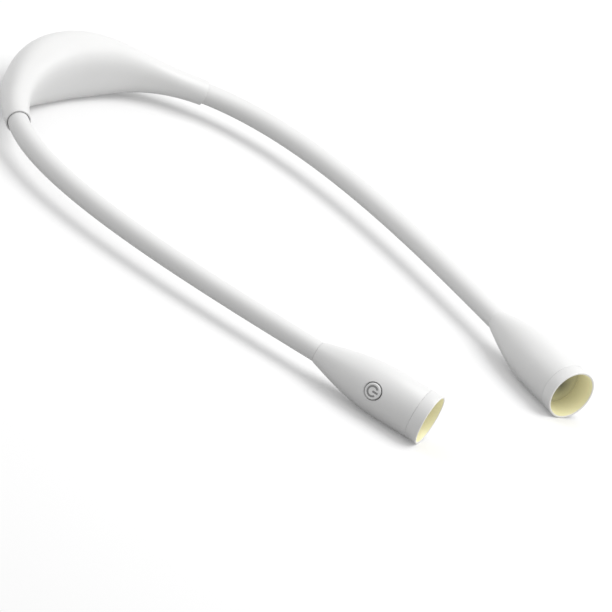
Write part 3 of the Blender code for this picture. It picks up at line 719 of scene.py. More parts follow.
def arm_place(curve, side, distance):
    """The point and heading at a distance from the housing's end: below zero inside the
    housing, past the curve's length inside the head."""
    points, distances = curve
    if distance < 0:
        sizes = bpy.context.scene.housing_sizes
        turn = sizes.half_angle + distance / sizes.arc_radius
        point = crescent_point(turn, 0, axis_height())
        heading = Vector((math.cos(turn), -math.sin(turn), 0))
    elif distance >= distances[-1]:
        toe_in = bpy.context.scene.arm_sizes.toe_in
        heading = Vector((-math.sin(toe_in), -math.cos(toe_in), 0))
        point = points[-1] + heading * (distance - distances[-1])
    else:
        after = next(i for i, along in enumerate(distances) if along > distance)
        step = points[after] - points[after - 1]
        heading = points[min(after + 1, len(points) - 1)] - points[max(after - 2, 0)]
        heading.normalize()
        point = points[after - 1] + step.normalized() * (distance - distances[after - 1])
    mirror = Vector((side, 1, 1))
    return point * mirror, (heading * mirror).normalized()


def round_ring(bm, centre, heading, radius, sides):
    """A ring of edges square to a heading."""
    across = heading.cross(UP).normalized()
    matrix = axes(across, UP, heading, centre)
    verts = bmesh.ops.create_circle(bm, segments=sides, radius=radius, matrix=matrix)["verts"]
    return ring_edges(verts)


def arm_rings(bm, curve, side, stations):
    """Rings round an arm, each given as its distance along the arm and its radius."""
    sides = bpy.context.scene.arm_sizes.sides
    return [
        round_ring(bm, *arm_place(curve, side, place), radius, sides)
        for place, radius in stations
    ]


def arm_rod(curve, side, stations):
    """A rod along an arm, through rings of the radii that are given."""
    bm = bmesh.new()
    return bridged(bm, arm_rings(bm, curve, side, stations))


def hinge_places(side_name):
    """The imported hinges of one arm, from the housing outwards."""
    found = [joint for joint in frame["joints"] if joint["name"].startswith(f"arm_{side_name}_")]
    return sorted(found, key=lambda joint: joint["name"])


def arm_spans(curve, side_name, side, start, end):
    """Cuts an arm into one span per hinge, each ending midway between two hinges. Gives each
    span's number and joint, and where along the arm it starts, has its hinge and ends."""
    step = 0.0005
    steps = range(int(curve[1][-1] / step))
    joints = hinge_places(side_name)
    stations = []
    for joint in joints:
        place = Vector(joint["pos_m"])
        nearest = min(steps, key=lambda i: (arm_place(curve, side, i * step)[0] - place).length)
        stations.append(nearest * step)
    middles = [(a + b) / 2 for a, b in zip(stations, stations[1:])]
    numbers = range(1, len(joints) + 1)
    return zip(numbers, joints, [start, *middles], stations, [*middles, end])


def span_steps(start, end, step):
    """Ring places along a span, closer together at its ends so that neighbours match."""
    near = step / 8
    count = max(1, round((end - start - 2 * near) / step))
    inner = [start + near + (end - start - 2 * near) * i / count for i in range(count + 1)]
    return [start, *inner, end]


def sleeve_tube(curve, side, start, end):
    """A length of sleeve. The rings of its bore lie twice as far apart as those outside."""
    sizes = bpy.context.scene.arm_sizes
    bm = bmesh.new()
    step = sizes.ring_step
    places = span_steps(start, end, step)
    outside = arm_rings(bm, curve, side, [(place, sizes.sleeve_radius) for place in places])
    inset = step / 20
    places = span_steps(start + inset, end - inset, step * 2)
    inside = arm_rings(bm, curve, side, [(place, sizes.sleeve_bore) for place in places])
    return bridged(bm, outside + inside[::-1], endless=True)


def route_tube(route, radius, sides):
    """A solid cord through the points of a route."""
    bm = bmesh.new()
    headings = [after - before for before, after in zip(route, route[2:])]
    headings = [route[1] - route[0], *headings, route[-1] - route[-2]]
    rings = [
        round_ring(bm, point, heading.normalized(), radius, sides)
        for point, heading in zip(route, headings)
    ]
    return bridged(bm, rings)


def smooth_points(knots, steps):
    """A smooth route through given knots."""
    route = []
    ends = [knots[0] * 2 - knots[1], *knots, knots[-1] * 2 - knots[-2]]
    for before, start, end, after in zip(ends, ends[1:], ends[2:], ends[3:]):
        reach = (end - start).length / 3
        first = start + (end - before).normalized() * reach
        second = end - (after - start).normalized() * reach
        route.extend(interpolate_bezier(start, first, second, end, steps)[:-1])
    route.append(knots[-1])
    return route


def bend_with_hinge(piece, curve, side, station):
    """Bakes a piece of sleeve or lead where it stands. The places on each side of its hinge are
    found but not used, so it does not bend.
    """
    room = bpy.context.scene.arm_sizes.bend_room
    start = arm_place(curve, side, station - room)[0]
    end = arm_place(curve, side, station + room)[0]
    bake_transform(piece)


# The heads


def flare_length():
    sizes = bpy.context.scene.head_sizes
    return sizes.flare_share * sizes.length


def head_outline(along):
    """The head's outer radius: a bell that swells from the neck and then runs straight."""
    sizes = bpy.context.scene.head_sizes
    share = min(along / flare_length(), 1)
    return sizes.neck_radius + (sizes.radius - sizes.neck_radius) * math.sin(math.pi / 2 * share)


def head_matrix(curve, side):
    """X runs from the neck joint to the mouth, and Z up."""
    point, heading = arm_place(curve, side, curve[1][-1])
    return axes(heading, UP.cross(heading), UP, point)


def button_matrix(side):
    """In the head's frame: X out of the head's side, from the middle of the button's face;
    Y towards the mouth on the right and away from it on the left."""
    sizes = bpy.context.scene.head_sizes
    place = sizes.button_share * flare_length()
    slope = (sizes.radius - sizes.neck_radius) * math.pi / 2 / flare_length()
    tilt = math.atan(slope * math.cos(math.pi / 2 * sizes.button_share))
    out = Vector((-math.sin(tilt), side * math.cos(tilt), 0))
    surface = Vector((place, side * head_outline(place), 0))
    matrix = axes(out, UP.cross(out), UP, surface + out * sizes.button_stand)
    return Matrix.Rotation(side * sizes.button_raise, 4, "X") @ matrix


def node_span(node, matrix):
    """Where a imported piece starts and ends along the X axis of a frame."""
    inverse = matrix.inverted()
    along = [(inverse @ vert.co).x for vert in frame["nodes"][node].data.vertices]
    return min(along), max(along)


def node_reach(node, matrix):
    """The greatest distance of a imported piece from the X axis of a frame."""
    inverse = matrix.inverted()
    return max((inverse @ vert.co).yz.length for vert in frame["nodes"][node].data.vertices)


class READINGLIGHT_OT_housing(bpy.types.Operator):
    """Model the crescent shell and its bottom cover."""

    bl_idname = "readinglight.housing"
    bl_label = "Housing"

    def execute(self, context):
        sizes = context.scene.housing_sizes
        arm = context.scene.arm_sizes
        plastic = moulded_plastic("housing_white", context.scene.light_colours.plastic)
        curve = arm_curve()
        hollow_turn = sizes.half_angle - (sizes.socket_depth + sizes.stop_wall) / sizes.arc_radius
        cuts = {
            "hollow": crescent_body(hollow_turn, sizes.wall),
            "opening": cover_prism(GAP),
        }
        pocket = self.pocket_stations(sizes, arm.sleeve_radius + sizes.socket_gap)
        passage = self.passage_stations(sizes, arm.core_radius + GAP)
        for side_name, side in SIDES.items():
            cuts[f"pocket_{side_name}"] = arm_rod(curve, side, pocket)
            cuts[f"passage_{side_name}"] = arm_rod(curve, side, passage)
        cuts["slot"] = self.slot_cutter(sizes)
        cuts["light_hole"] = self.light_hole_cutter()
        shell = new_object("housing_skin", crescent_body(sizes.half_angle, 0, sizes.end_round))
        carve(shell, cuts)
        dress(shell, plastic, "housing", "housing_shell")
        self.make_cover(sizes, plastic, hollow_turn)
        return {"FINISHED"}

    def pocket_stations(self, sizes, radius):
        """The arm's socket, flared a little at its rim."""
        depth = sizes.socket_depth
        flare = 0.0003
        return [
            (-depth, radius), (-depth / 2, radius), (-flare, radius),
            (-flare / 4, radius + flare / 3), (0, radius + flare), (OVERRUN, radius + flare),
        ]

    def passage_stations(self, sizes, radius):
        """The gooseneck's passage through the wall behind its socket."""
        start = -(sizes.socket_depth + sizes.stop_wall + OVERRUN)
        end = -sizes.socket_depth + OVERRUN
        spacing = 0.002
        count = max(2, round((end - start) / spacing))
        return [(start + (end - start) * i / (count - 1), radius) for i in range(count)]

    def slot_cutter(self, sizes):
        """The charging slot: a round-cornered hole through the back wall."""
        low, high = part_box("charging_socket")
        back = sizes.depth / 2
        inward, corner = 0.004, 0.0008
        bm = box_mesh(
            (low.x - GAP, back - inward, low.z - GAP), (high.x + GAP, back + OVERRUN, high.z + GAP)
        )
        return bevelled(bm, edges_along_y(bm), corner, segments=4)

    def light_hole_cutter(self):
        matrix = light_pipe_matrix()
        radius = node_reach("charge_light", matrix) + GAP
        inward = 0.004
        outline = [(-inward, 0), (-inward, radius), (OVERRUN, radius), (OVERRUN, 0)]
        return placed(turned(outline, sides=32), matrix)

    def make_cover(self, sizes, plastic, hollow_turn):
        """The bottom cover, with a stepped hole for each screw."""
        cuts = {
            "cover_hollow": crescent_body(hollow_turn, sizes.wall),
            "cover_outline": cover_prism(0.0),
        }
        deep, shank, seat_rise = 0.013, 0.0012, 0.00105
        for index in SCREWS:
            low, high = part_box(f"cover_screw_{index}")
            head = (high.x - low.x) / 2 + GAP
            seat = low.z + seat_rise - axis_height()
            outline = [
                (-deep, 0), (-deep, head), (seat, head),
                (seat, shank), (OVERRUN, shank), (OVERRUN, 0),
            ]
            hole = placed(turned(outline, sides=40), screw_matrix(index, axis_height()))
            cuts[f"screw_hole_{index}"] = hole
        cover = new_object("cover_skin", crescent_body(sizes.half_angle))
        carve(cover, cuts, kept=("cover_outline",))
        dress(cover, plastic, "housing", "bottom_cover")


def screw_matrix(index, height):
    """X points up a cover screw's middle, from a height."""
    low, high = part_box(f"cover_screw_{index}")
    centre = (low + high) / 2
    place = Matrix.Translation((centre.x, centre.y, height))
    return place @ Matrix.Rotation(-math.pi / 2, 4, "Y")


def light_pipe_matrix():
    """X points out through the housing's back wall, along the charge light."""
    low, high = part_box("charge_light")
    centre = (low + high) / 2
    arc_radius = bpy.context.scene.housing_sizes.arc_radius
    turn = math.atan2(centre.x, centre.y + arc_radius)
    place = crescent_point(turn, half_depth(turn), axis_height())
    return Matrix.Translation(place) @ Matrix.Rotation(math.pi / 2 - turn, 4, "Z")


class READINGLIGHT_OT_sleeves(bpy.types.Operator):
    """Model each silicone sleeve as one span per hinge."""

    bl_idname = "readinglight.sleeves"
    bl_label = "Sleeves"

    def execute(self, context):
        silicone = soft_silicone("sleeve_silicone", context.scene.light_colours.silicone)
        curve = arm_curve()
        start = -context.scene.housing_sizes.socket_depth + GAP
        end = curve[1][-1] - context.scene.head_sizes.seam
        for side_name, side in SIDES.items():
            spans = arm_spans(curve, side_name, side, start, end)
            for number, joint, low, station, high in spans:
                tube = sleeve_tube(curve, side, low, high)
                skin = new_object(f"sleeve_skin_{side_name}_{number}", tube)
                dress(skin, silicone)
                bend_with_hinge(skin, curve, side, station)
                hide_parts(f"sleeve_{side_name}")
        return {"FINISHED"}


class READINGLIGHT_OT_leads(bpy.types.Operator):
    """Model the lead inside each arm, as one span per hinge."""

    bl_idname = "readinglight.leads"
    bl_label = "Leads"

    def execute(self, context):
        radius = context.scene.arm_sizes.lead_radius
        wire = dull("lead_black", (0.05, 0.05, 0.05), roughness=0.5, scale=600, depth=0.00002)
        curve = arm_curve()
        inside_housing, spacing = 0.0191, 0.003
        for side_name, side in SIDES.items():
            last = node_span(f"light_carrier_{side_name}", head_matrix(curve, side))[1]
            end = curve[1][-1] + last
            spans = arm_spans(curve, side_name, side, -inside_housing, end)
            for number, joint, low, station, high in spans:
                route = [arm_place(curve, side, p)[0] for p in span_steps(low, high, spacing)]
                if number == 1:
                    route = self.housing_route(side, route[0], radius) + route
                tube = route_tube(route, radius, sides=12)
                lead = new_object(f"lead_skin_{side_name}_{number}", tube)
                dress(lead, wire)
                bend_with_hinge(lead, curve, side, station)
                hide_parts(f"lead_{side_name}")
        return {"FINISHED"}

    def housing_route(self, side, end, radius):
        """From the main board over the cell, round the screw boss and to the gooseneck. Each
        station has its turn in degrees, how far out it lies and its height."""
        boss = 0.0025
        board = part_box("main_board")[1].z + GAP + radius
        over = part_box("battery_cell_left")[1].z + GAP + 2 * radius
        beside = boss + GAP + 2 * radius
        stations = [
            (3, 0, board), (5, 0, board), (9, beside / 2, over), (17, beside / 2, over),
            (25, beside, over), (29.5, beside, over - radius),
            (34, beside / 2, axis_height() + radius),
        ]
        mirror = Vector((side, 1, 1))
        knots = [
            crescent_point(math.radians(turn), across, height) * mirror
            for turn, across, height in stations
        ]
        return smooth_points([*knots, end], steps=8)[:-1]


class READINGLIGHT_OT_heads(bpy.types.Operator):
    """Model the bell-shaped head shells and their bezels."""

    bl_idname = "readinglight.heads"
    bl_label = "Head shells and bezels"

    def execute(self, context):
        sizes = context.scene.head_sizes
        colours = context.scene.light_colours
        plastic = moulded_plastic("head_white", colours.plastic)
        core = context.scene.arm_sizes.core_radius
        curve = arm_curve()
        for side_name, side in SIDES.items():
            matrix = head_matrix(curve, side)
            outline = self.shell_outline(sizes, core + GAP)
            shell = turned(outline, sizes.sides, closed=True)
            shell = new_object(f"head_skin_{side_name}", placed(shell, matrix))
            hole = placed(turned(self.hole_outline(sizes), sides=64), matrix @ button_matrix(side))
            carve(shell, {f"hole_{side_name}": hole})
            body = f"head_{side_name}"
            dress(shell, plastic, body, f"head_shell_{side_name}")
            self.make_bezel(sizes, colours, side_name, matrix)
        return {"FINISHED"}

    def shell_outline(self, sizes, bore):
        """From the neck along the bell to its seam, then back inside by the seat of the light
        parts, the bell's wall and the pocket of the ferrule."""
        flare = flare_length()
        end = sizes.length - sizes.bezel_length - sizes.seam
        inner = sizes.radius - sizes.wall
        seat = inner - sizes.seat_step
        seat_place = flare + sizes.seat_offset
        seat_back = seat_place - sizes.seat_length
        pocket_start, pocket_end, pocket_radius = 0.008, 0.017, 0.0044
        neck_round = 0.0002
        steps = 40
        swelling = [i / steps * flare for i in range(1, steps + 1)]
        thinning = [place for place in swelling[::-1] if pocket_end < place < seat_back - GAP]
        return [
            (0, bore),
            *softened(0, sizes.neck_radius, neck_round, 1)[:2],
            *[(place, head_outline(place)) for place in swelling],
            *softened(end, sizes.radius, sizes.seam_round, -1)[::-1],
            (end, inner), (seat_place, inner), (seat_place, seat), (seat_back, seat),
            (seat_back, head_outline(seat_back) - sizes.wall),
            *[(place, head_outline(place) - sizes.wall) for place in thinning],
            (pocket_end, head_outline(pocket_end) - sizes.wall),
            (pocket_end, pocket_radius), (pocket_start, pocket_radius), (pocket_start, bore),
        ]

    def hole_outline(self, sizes):
        """The button's hole, with a soft valley where it meets the surface."""
        radius = sizes.button_radius + sizes.button_gap
        valley = sizes.button_valley
        inward, steps, power = 0.005, 6, 1.6
        sunk = 1.6 * valley
        outline = [(-inward, 0), (-inward, radius)]
        for step in range(steps + 1):
            share = step / steps
            outline.append((-sunk * (1 - share), radius + valley * share**power))
        return [*outline, (OVERRUN, radius + valley), (OVERRUN, 0)]

    def make_bezel(self, sizes, colours, side_name, matrix):
        """The bezel, and over its throat a thin sheet that carries painted shade, painted light
        and a painted glow.
        """
        # The rim's painted glow: the head's frame, the place of the mouth's face and the glow's
        # colour.
        rim = (matrix, sizes.length, colours.rim)
        plastic = moulded_plastic(
            f"bezel_white_{side_name}", colours.plastic, roughness=0.3, grain=0.03, rim=rim
        )
        throat_start = node_span(f"bezel_{side_name}", matrix)[0]
        start = sizes.length - sizes.bezel_length
        spigot = sizes.radius - sizes.wall - GAP
        mouth = sizes.radius - sizes.rim_width
        throat = mouth - sizes.throat_step
        bead = sizes.rim_round
        front = sizes.length - bead
        steps, power = 10, 1.3
        flank = []
        for step in range(steps - 1, 0, -1):
            share = step / steps
            place = throat_start + (front - throat_start) * share
            flank.append((place, throat + (mouth - throat) * share**power))
        outline = [
            (throat_start, throat), (throat_start, spigot), (start, spigot),
            *softened(start, sizes.radius, sizes.seam_round, 1),
            *arc(front, sizes.radius - bead, bead, math.pi / 2, 0, steps=5),
            *arc(front, mouth + bead, bead, 0, -math.pi / 2, steps=5),
            *flank,
        ]
        bezel = placed(turned(outline, sizes.sides, closed=True), matrix)
        bezel = new_object(f"bezel_skin_{side_name}", bezel)
        body = f"head_{side_name}"
        dress(bezel, plastic, body, f"bezel_{side_name}")
        # A thin sheet over the throat, which carries the mouth's painted light and shade.
        skin = 0.00012
        lens_front = node_span(f"lens_{side_name}", matrix)[0] + sizes.lens_edge
        flank = [(front, mouth), *flank, (lens_front + skin / 4, throat)]
        inner = [(along, radius - skin) for along, radius in flank]
        outer = [(along, radius - skin / 4) for along, radius in flank[::-1]]
        painted_liner = placed(turned(inner + outer, sizes.sides, closed=True), matrix)
        painted_liner = new_object(f"mouth_painted_light_liner_{side_name}", painted_liner)
        warm = painted_light_wall(f"mouth_warm_{side_name}", matrix, throat_start, sizes.length, colours)
        dress(painted_liner, warm, body)


class READINGLIGHT_OT_optics(bpy.types.Operator):
    """Model the lens, the reflector and the LED in each head."""

    bl_idname = "readinglight.optics"
    bl_label = "Lenses, reflectors and LEDs"

    def execute(self, context):
        colours = context.scene.light_colours
        # The reflector's white plastic is tinted with the painted warm light of the LEDs.
        painted_warm_cup_finish = moulded_plastic("reflector_cup", colours.painted_warm_cup, roughness=0.22, grain=0.02)
        led_finish = glowing("led_glow", colours.glow, strength=6.0)
        curve = arm_curve()
        for side_name, side in SIDES.items():
            matrix = head_matrix(curve, side)
            reach = node_reach(f"lens_{side_name}", matrix)
            painted_shade_lens_finish = painted_shade_lens(f"lens_milky_{side_name}", matrix, reach, colours)
            kinds = {
                "lens": (self.lens, 96, painted_shade_lens_finish, "clear_lens"),
                "reflector": (self.reflector, 96, painted_warm_cup_finish, "reflector_white"),
                "led": (self.led, 48, led_finish, "led_warm"),
            }
            for kind, (outline, sides, finish, slot) in kinds.items():
                node = f"{kind}_{side_name}"
                points = outline(*node_span(node, matrix), node_reach(node, matrix))
                bm = turned(points, sides, closed=kind == "reflector")
                piece = new_object(f"{kind}_skin_{side_name}", placed(bm, matrix))
                dress(piece, finish, f"head_{side_name}", node)
        return {"FINISHED"}

    def lens(self, start, crown, radius):
        """A flat-backed lens with a thin edge and a smooth crown."""
        sizes = bpy.context.scene.head_sizes
        edge = start + sizes.lens_edge
        cut, margin = 0.0002, 0.00015
        crown_radius = sizes.radius - sizes.rim_width - sizes.throat_step - margin
        outline = [
            (start, 0), (start, radius - cut), (start + cut, radius),
            (edge - cut, radius), (edge, radius - cut), (edge, crown_radius),
        ]
        steps = 12
        for step in range(1, steps):
            share = 1 - step / steps
            outline.append((edge + (crown - edge) * (1 - share**2), crown_radius * share))
        return [*outline, (crown, 0)]

    def reflector(self, start, end, radius):
        """A bowl that opens from the LED to the lens."""
        hole, lip, wall = 0.0025, 0.0007, 0.0008
        mouth = radius - lip
        steps, power = 16, 1.4
        inside = []
        for step in range(steps + 1):
            share = step / steps
            along = start + (end - start) * share**power
            inside.append((along, hole + (mouth - hole) * share))
        outside = [
            (max(along - wall, start), min(at + wall, radius)) for along, at in inside[:-1]
        ]
        return [*outside, (end - wall, radius), (end, radius), *inside[::-1]]

    def led(self, start, end, radius):
        """A round base with a domed window."""
        middle = (start + end) / 2
        cut, shoulder, dome, steps = 0.0001, radius * 0.95, radius * 0.8, 10
        outline = [(start, 0), (start, radius), (middle - cut, radius), (middle, shoulder)]
        for step in range(steps):
            turn = math.pi / 2 * step / steps
            rise = (end - middle) * math.sin(turn)
            outline.append((middle + rise, dome * math.cos(turn)))
        return [*outline, (end, 0)]


class READINGLIGHT_OT_buttons(bpy.types.Operator):
    """Model each push button with its power mark."""

    bl_idname = "readinglight.buttons"
    bl_label = "Buttons"

    def execute(self, context):
        sizes = context.scene.head_sizes
        colours = context.scene.light_colours
        plastic = moulded_plastic("button_white", colours.plastic, roughness=0.32, grain=0.03)
        ink = moulded_plastic("mark_grey", colours.mark, roughness=0.5)
        curve = arm_curve()
        for side_name, side in SIDES.items():
            matrix = head_matrix(curve, side) @ button_matrix(side)
            button = f"button_{side_name}"
            kinds = {
                "button_skin": (self.cap(sizes, button, matrix), plastic, button),
                "mark_ring": (self.ring(sizes, -side), ink, None),
                "mark_bar": (self.bar(sizes, -side), ink, None),
            }
            for kind, (bm, finish, node) in kinds.items():
                piece = new_object(f"{kind}_{side_name}", placed(bm, matrix))
                dress(piece, finish, button, node)
        return {"FINISHED"}

    def cap(self, sizes, button, matrix):
        """The cap with its rounded edge and dished face, its lip and its stem."""
        stem_end = node_span(button, matrix)[0]
        lip_radius = node_reach(button, matrix)
        stem_radius, lip_step = 0.0015, 0.0007
        lip_back = stem_end + lip_step
        lip = lip_back + lip_step
        face = -sizes.dish_depth
        flat, brim = sizes.dish_radius - 0.0004, sizes.dish_radius + 0.0002
        bead = sizes.button_round
        outline = [
            (face, 0), (face, flat), (face * 0.5, sizes.dish_radius), (0, brim),
            *arc(-bead, sizes.button_radius - bead, bead, 0, math.pi / 2, steps=6),
            (lip, sizes.button_radius), (lip, lip_radius), (lip_back, lip_radius),
            (lip_back, stem_radius), (stem_end, stem_radius), (stem_end, 0),
        ]
        return turned(outline, sides=64)

    def mark_layer(self, sizes):
        """The mark's back, which is sunk in the cap's face, and its front."""
        sunk, proud = 0.00003, 0.00004
        return -sizes.dish_depth - sunk, -sizes.dish_depth + proud

    def ring(self, sizes, mouthward):
        """The open ring of the power mark, its gap towards the mouth."""
        half = sizes.mark_width / 2
        low, high = self.mark_layer(sizes)
        outline = [
            (low, sizes.mark_radius - half), (high, sizes.mark_radius - half),
            (high, sizes.mark_radius + half), (low, sizes.mark_radius + half),
        ]
        bm = turned(outline, sides=48, closed=True, sweep=math.tau - sizes.mark_gap)
        start = sizes.mark_gap / 2 - mouthward * math.pi / 2
        return placed(bm, Matrix.Rotation(start, 4, "X"))

    def bar(self, sizes, mouthward):
        """The bar of the power mark, from the middle towards the mouth."""
        half = sizes.mark_width / 2
        low, high = self.mark_layer(sizes)
        start, end = sorted((0.0, mouthward * (sizes.mark_radius + half)))
        return box_mesh((low, start, -half), (high, end, half))


class READINGLIGHT_OT_fittings(bpy.types.Operator):
    """Model the charging socket, the charge light and the cover screws."""

    bl_idname = "readinglight.fittings"
    bl_label = "Charging socket, charge light and screws"

    def execute(self, context):
        self.charging_socket()
        self.charge_light()
        steel = metal("screw_steel", (0.62, 0.62, 0.63), roughness=0.3)
        for index in SCREWS:
            self.screw(index, steel)
        return {"FINISHED"}

    def charging_socket(self):
        """A folded metal shell with a tongue and its five contacts."""
        steel = metal("socket_steel", (0.70, 0.70, 0.71), roughness=0.28)
        low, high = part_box("charging_socket")
        wall = 0.0003
        inside_low = Vector((low.x + wall, low.y + wall * 2, low.z + wall))
        inside_high = Vector((high.x - wall, high.y + OVERRUN, high.z - wall))
        shell = new_object("socket_skin", self.socket_outline(low, high))
        carve(shell, {"socket_hollow": self.socket_outline(inside_low, inside_high)})
        dress(shell, steel, "housing", "charging_socket")
        middle = (low.z + high.z) / 2
        beside, sunk, behind, under, over = 0.0018, 0.0001, 0.0010, 0.0001, 0.0006
        tongue = box_mesh(
            (low.x + beside, inside_low.y - sunk, middle + under),
            (high.x - beside, high.y - behind, middle + over),
        )
        rounding = 0.0001
        tongue = bevelled(tongue, tongue.edges[:], rounding, segments=3)
        black = dull("tongue_black", (0.03, 0.03, 0.03), roughness=0.45)
        dress(new_object("socket_tongue", tongue), black, "housing")
        gold = metal("contact_gold", (0.85, 0.66, 0.30), roughness=0.25)
        pitch, half_width = 0.00065, 0.00018
        root, behind, under, over = 0.0012, 0.0013, 0.00002, 0.00012
        for index in range(-2, 3):
            x = index * pitch
            contact = box_mesh(
                (x - half_width, low.y + root, middle + under),
                (x + half_width, high.y - behind, middle + over),
            )
            contact = new_object(f"socket_contact_{index + 3}", contact, smooth=False)
            dress(contact, gold, "housing")

    def socket_outline(self, low, high):
        """A box whose two lower long edges are cut at a slant, as the plug's are."""
        bm = box_mesh(low, high)
        along = edges_along_y(bm)
        floor = min(vert.co.z for edge in along for vert in edge.verts)
        lower = [e for e in along if e.verts[0].co.z < floor + WELD]
        upper = [e for e in along if e not in lower]
        slant, rounding = 0.0009, 0.0003
        bevelled(bm, lower, slant, segments=1)
        return bevelled(bm, [e for e in upper if e.is_valid], rounding, segments=3)

    def charge_light(self):
        """The clear pipe, with its outer edge rounded."""
        matrix = light_pipe_matrix()
        start, end = node_span("charge_light", matrix)
        radius = node_reach("charge_light", matrix)
        bead = 0.0003
        outline = [
            (start, 0), (start, radius),
            *arc(end - bead, radius - bead, bead, math.pi / 2, 0, steps=5), (end, 0),
        ]
        pipe = new_object("charge_light_skin", placed(turned(outline, sides=40), matrix))
        clear = light_pipe("light_pipe", (0.80, 0.82, 0.80))
        dress(pipe, clear, "housing", "charge_light")

    def screw(self, index, steel):
        """A pan-headed screw with a cross recess. Each one stands at a turn of its own."""
        low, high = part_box(f"cover_screw_{index}")
        matrix = screw_matrix(index, low.z)
        radius = (high.x - low.x) / 2
        tall = high.z - low.z
        head, shank = 0.00075, 0.0009
        dome = {0: 0.6, 0.00012: 0.85, 0.0004: 1}
        outline = [
            (0, 0), *[(along, radius * share) for along, share in dome.items()],
            (head, radius), (head, shank), (tall - shank, shank), (tall, 0),
        ]
        screw = new_object(f"screw_skin_{index}", placed(turned(outline, sides=32), matrix))
        half_width, reach, deep = 0.0002, 0.0009, 0.0005
        own_turn = 0.4 * index
        blades = {}
        for turn in (0, math.pi / 2):
            blade = box_mesh((-half_width, -reach, -half_width), (deep, reach, half_width))
            rotation = Matrix.Rotation(turn + own_turn, 4, "X")
            blades[f"blade_{index}_{turn:.1f}"] = placed(blade, matrix @ rotation)
        carve(screw, blades)
        dress(screw, steel, "housing", f"cover_screw_{index}")


class READINGLIGHT_OT_inner_parts(bpy.types.Operator):
    """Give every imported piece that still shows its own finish."""

    bl_idname = "readinglight.inner_parts"
    bl_label = "Inner parts"

    def execute(self, context):
        green, foam = (0.05, 0.20, 0.10), (0.12, 0.12, 0.13)
        finishes = {
            "gooseneck": metal("gooseneck_steel", (0.55, 0.55, 0.56), roughness=0.35, wear=0.25),
            "housing_ferrule": metal("ferrule_steel", (0.60, 0.60, 0.61), roughness=0.30),
            "head_ferrule": metal("ferrule_steel_head", (0.60, 0.60, 0.61), roughness=0.30),
            "light_carrier": metal("carrier_aluminium", (0.80, 0.80, 0.81), roughness=0.35),
            "light_board": dull("light_board_white", (0.80, 0.80, 0.78), scale=700, contrast=0.03),
            "main_board": dull("board_green", green),
            "switch_board": dull("switch_board_green", green),
            "switch_": dull("switch_black", (0.04, 0.04, 0.04), scale=400),
            "battery_cell": metal("cell_foil", (0.74, 0.75, 0.77), roughness=0.32, wear=0.1),
            "battery_pad": dull("pad_foam", foam, roughness=0.9, scale=900, depth=0.0002),
        }
        for name, node in frame["nodes"].items():
            match = [key for key in finishes if name.startswith(key)]
            if match:
                self.paint(node, finishes[max(match, key=len)])
        return {"FINISHED"}

    def paint(self, node, material):
        if not node.material_slots:
            node.data.materials.append(material)
        for slot in node.material_slots:
            slot.material = material


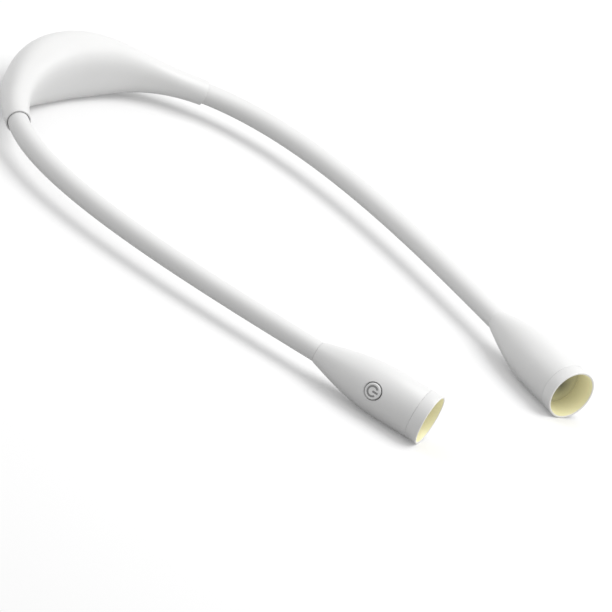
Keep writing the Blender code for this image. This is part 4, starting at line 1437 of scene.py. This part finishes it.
class READINGLIGHT_OT_stage(bpy.types.Operator):
    """Set up the floor, the lights, the surroundings and the camera."""

    bl_idname = "readinglight.stage"
    bl_label = "Stage"

    def execute(self, context):
        stage = context.scene.stage_settings
        self.make_floor(stage)
        self.softbox("overhead", place=(0.45, -0.55, 1.35), size=1.3, power=stage.overhead_power)
        self.softbox("back", place=(-0.75, 1.0, 1.25), size=1.2, power=stage.back_power)
        self.make_surroundings(context.scene, stage)
        self.make_camera(context.scene, stage)
        context.scene.view_settings.view_transform = "Standard"
        return {"FINISHED"}

    def make_floor(self, stage):
        """A wide disc just under the light, which the camera sees paler than the pieces do."""
        radius, below = 14, 0.0001
        bm = bmesh.new()
        bmesh.ops.create_circle(bm, cap_ends=True, segments=64, radius=radius)
        bmesh.ops.translate(bm, vec=(0, 0, -below), verts=bm.verts)
        floor = new_object("floor", bm, smooth=False)
        finish = Finish("floor_paper")
        bounce, paper = [
            finish.node("BsdfDiffuse", None, {"Color": shaded((shade,) * 3, 1)})
            for shade in (stage.bounce_shade, stage.floor_shade)
        ]
        lift = finish.node("Emission", None, {"Color": WHITE, "Strength": stage.floor_lift})
        lit = finish.node("AddShader", None, {0: paper, 1: lift})
        surface = finish.node("MixShader", None, {0: finish.seen(), 1: bounce, 2: lit})
        floor.data.materials.append(finish.finished(surface))

    def softbox(self, name, place, size, power):
        """A square soft lamp that points between the arms."""
        light = bpy.data.lights.new(name, "AREA")
        light.shape = "SQUARE"
        light.size = size
        light.energy = power
        made = bpy.data.objects.new(name, light)
        made.location = place
        between_arms = Vector((0, -0.12, 0))
        aim = between_arms - Vector(place)
        made.rotation_euler = aim.to_track_quat("-Z", "Y").to_euler()
        bpy.context.scene.collection.objects.link(made)

    def make_surroundings(self, scene, stage):
        """Even pale light all round, and plain white where the camera looks past the floor."""
        scene.world = bpy.data.worlds.new("studio")
        tree = Tree(scene.world)
        even = tree.node("Background", None, {"Strength": stage.sky_strength})
        white = tree.node("Background", None, {"Color": WHITE})
        surface = tree.node("MixShader", None, {0: tree.seen(), 1: even, 2: white})
        tree.finished(surface, "OutputWorld")

    def make_camera(self, scene, stage):
        """A very long lens, placed so that the light falls where the photograph has it."""
        azimuth, elevation = stage.azimuth, stage.elevation
        back = Vector(
            (
                math.sin(azimuth) * math.cos(elevation),
                -math.cos(azimuth) * math.cos(elevation),
                math.sin(elevation),
            )
        )
        right = UP.cross(back).normalized()
        top = back.cross(right)
        turned_right = math.cos(stage.roll) * right + math.sin(stage.roll) * top
        turned_top = -math.sin(stage.roll) * right + math.cos(stage.roll) * top
        socket = crescent_point(scene.housing_sizes.half_angle, 0, axis_height())
        between = Vector((0, socket.y, socket.z))
        middle = stage.frame_pixels / 2
        aim = between + turned_right * (middle - stage.joint_pixel_x) * stage.pixel
        aim -= turned_top * (middle - stage.joint_pixel_y) * stage.pixel
        camera_data = bpy.data.cameras.new("camera")
        camera_data.lens = stage.lens
        camera_data.sensor_width = 36
        width = stage.frame_pixels * stage.pixel
        distance = width * stage.lens / camera_data.sensor_width
        camera_data.clip_start = distance / 100
        camera_data.clip_end = distance * 10
        camera = bpy.data.objects.new("camera", camera_data)
        camera.matrix_world = axes(turned_right, turned_top, back, aim + back * distance)
        scene.collection.objects.link(camera)
        scene.camera = camera


class READINGLIGHT_PT_panel(bpy.types.Panel):
    """Lists the light's pieces and the stage."""

    bl_label = "Neck Reading Light"
    bl_idname = "READINGLIGHT_PT_panel"
    bl_space_type = "VIEW_3D"
    bl_region_type = "UI"
    bl_category = "Reading Light"

    def draw(self, context):
        for operator in OPERATORS:
            self.layout.operator(operator.bl_idname)


OPERATORS = (
    READINGLIGHT_OT_housing,
    READINGLIGHT_OT_sleeves,
    READINGLIGHT_OT_leads,
    READINGLIGHT_OT_heads,
    READINGLIGHT_OT_optics,
    READINGLIGHT_OT_buttons,
    READINGLIGHT_OT_fittings,
    READINGLIGHT_OT_inner_parts,
    READINGLIGHT_OT_stage,
)
GROUPS = {
    "housing_sizes": HousingSizes,
    "arm_sizes": ArmSizes,
    "head_sizes": HeadSizes,
    "light_colours": LightColours,
    "stage_settings": StageSettings,
}


def register():
    for name, group in GROUPS.items():
        bpy.utils.register_class(group)
        setattr(bpy.types.Scene, name, PointerProperty(type=group))
    for operator in OPERATORS:
        bpy.utils.register_class(operator)
    bpy.utils.register_class(READINGLIGHT_PT_panel)


def unregister():
    bpy.utils.unregister_class(READINGLIGHT_PT_panel)
    for operator in reversed(OPERATORS):
        bpy.utils.unregister_class(operator)
    for name, group in GROUPS.items():
        delattr(bpy.types.Scene, name)
        bpy.utils.unregister_class(group)


def main():
    register()
    for operator in OPERATORS:
        group, name = operator.bl_idname.split(".")
        getattr(getattr(bpy.ops, group), name)()


if __name__ == "__main__":
    main()
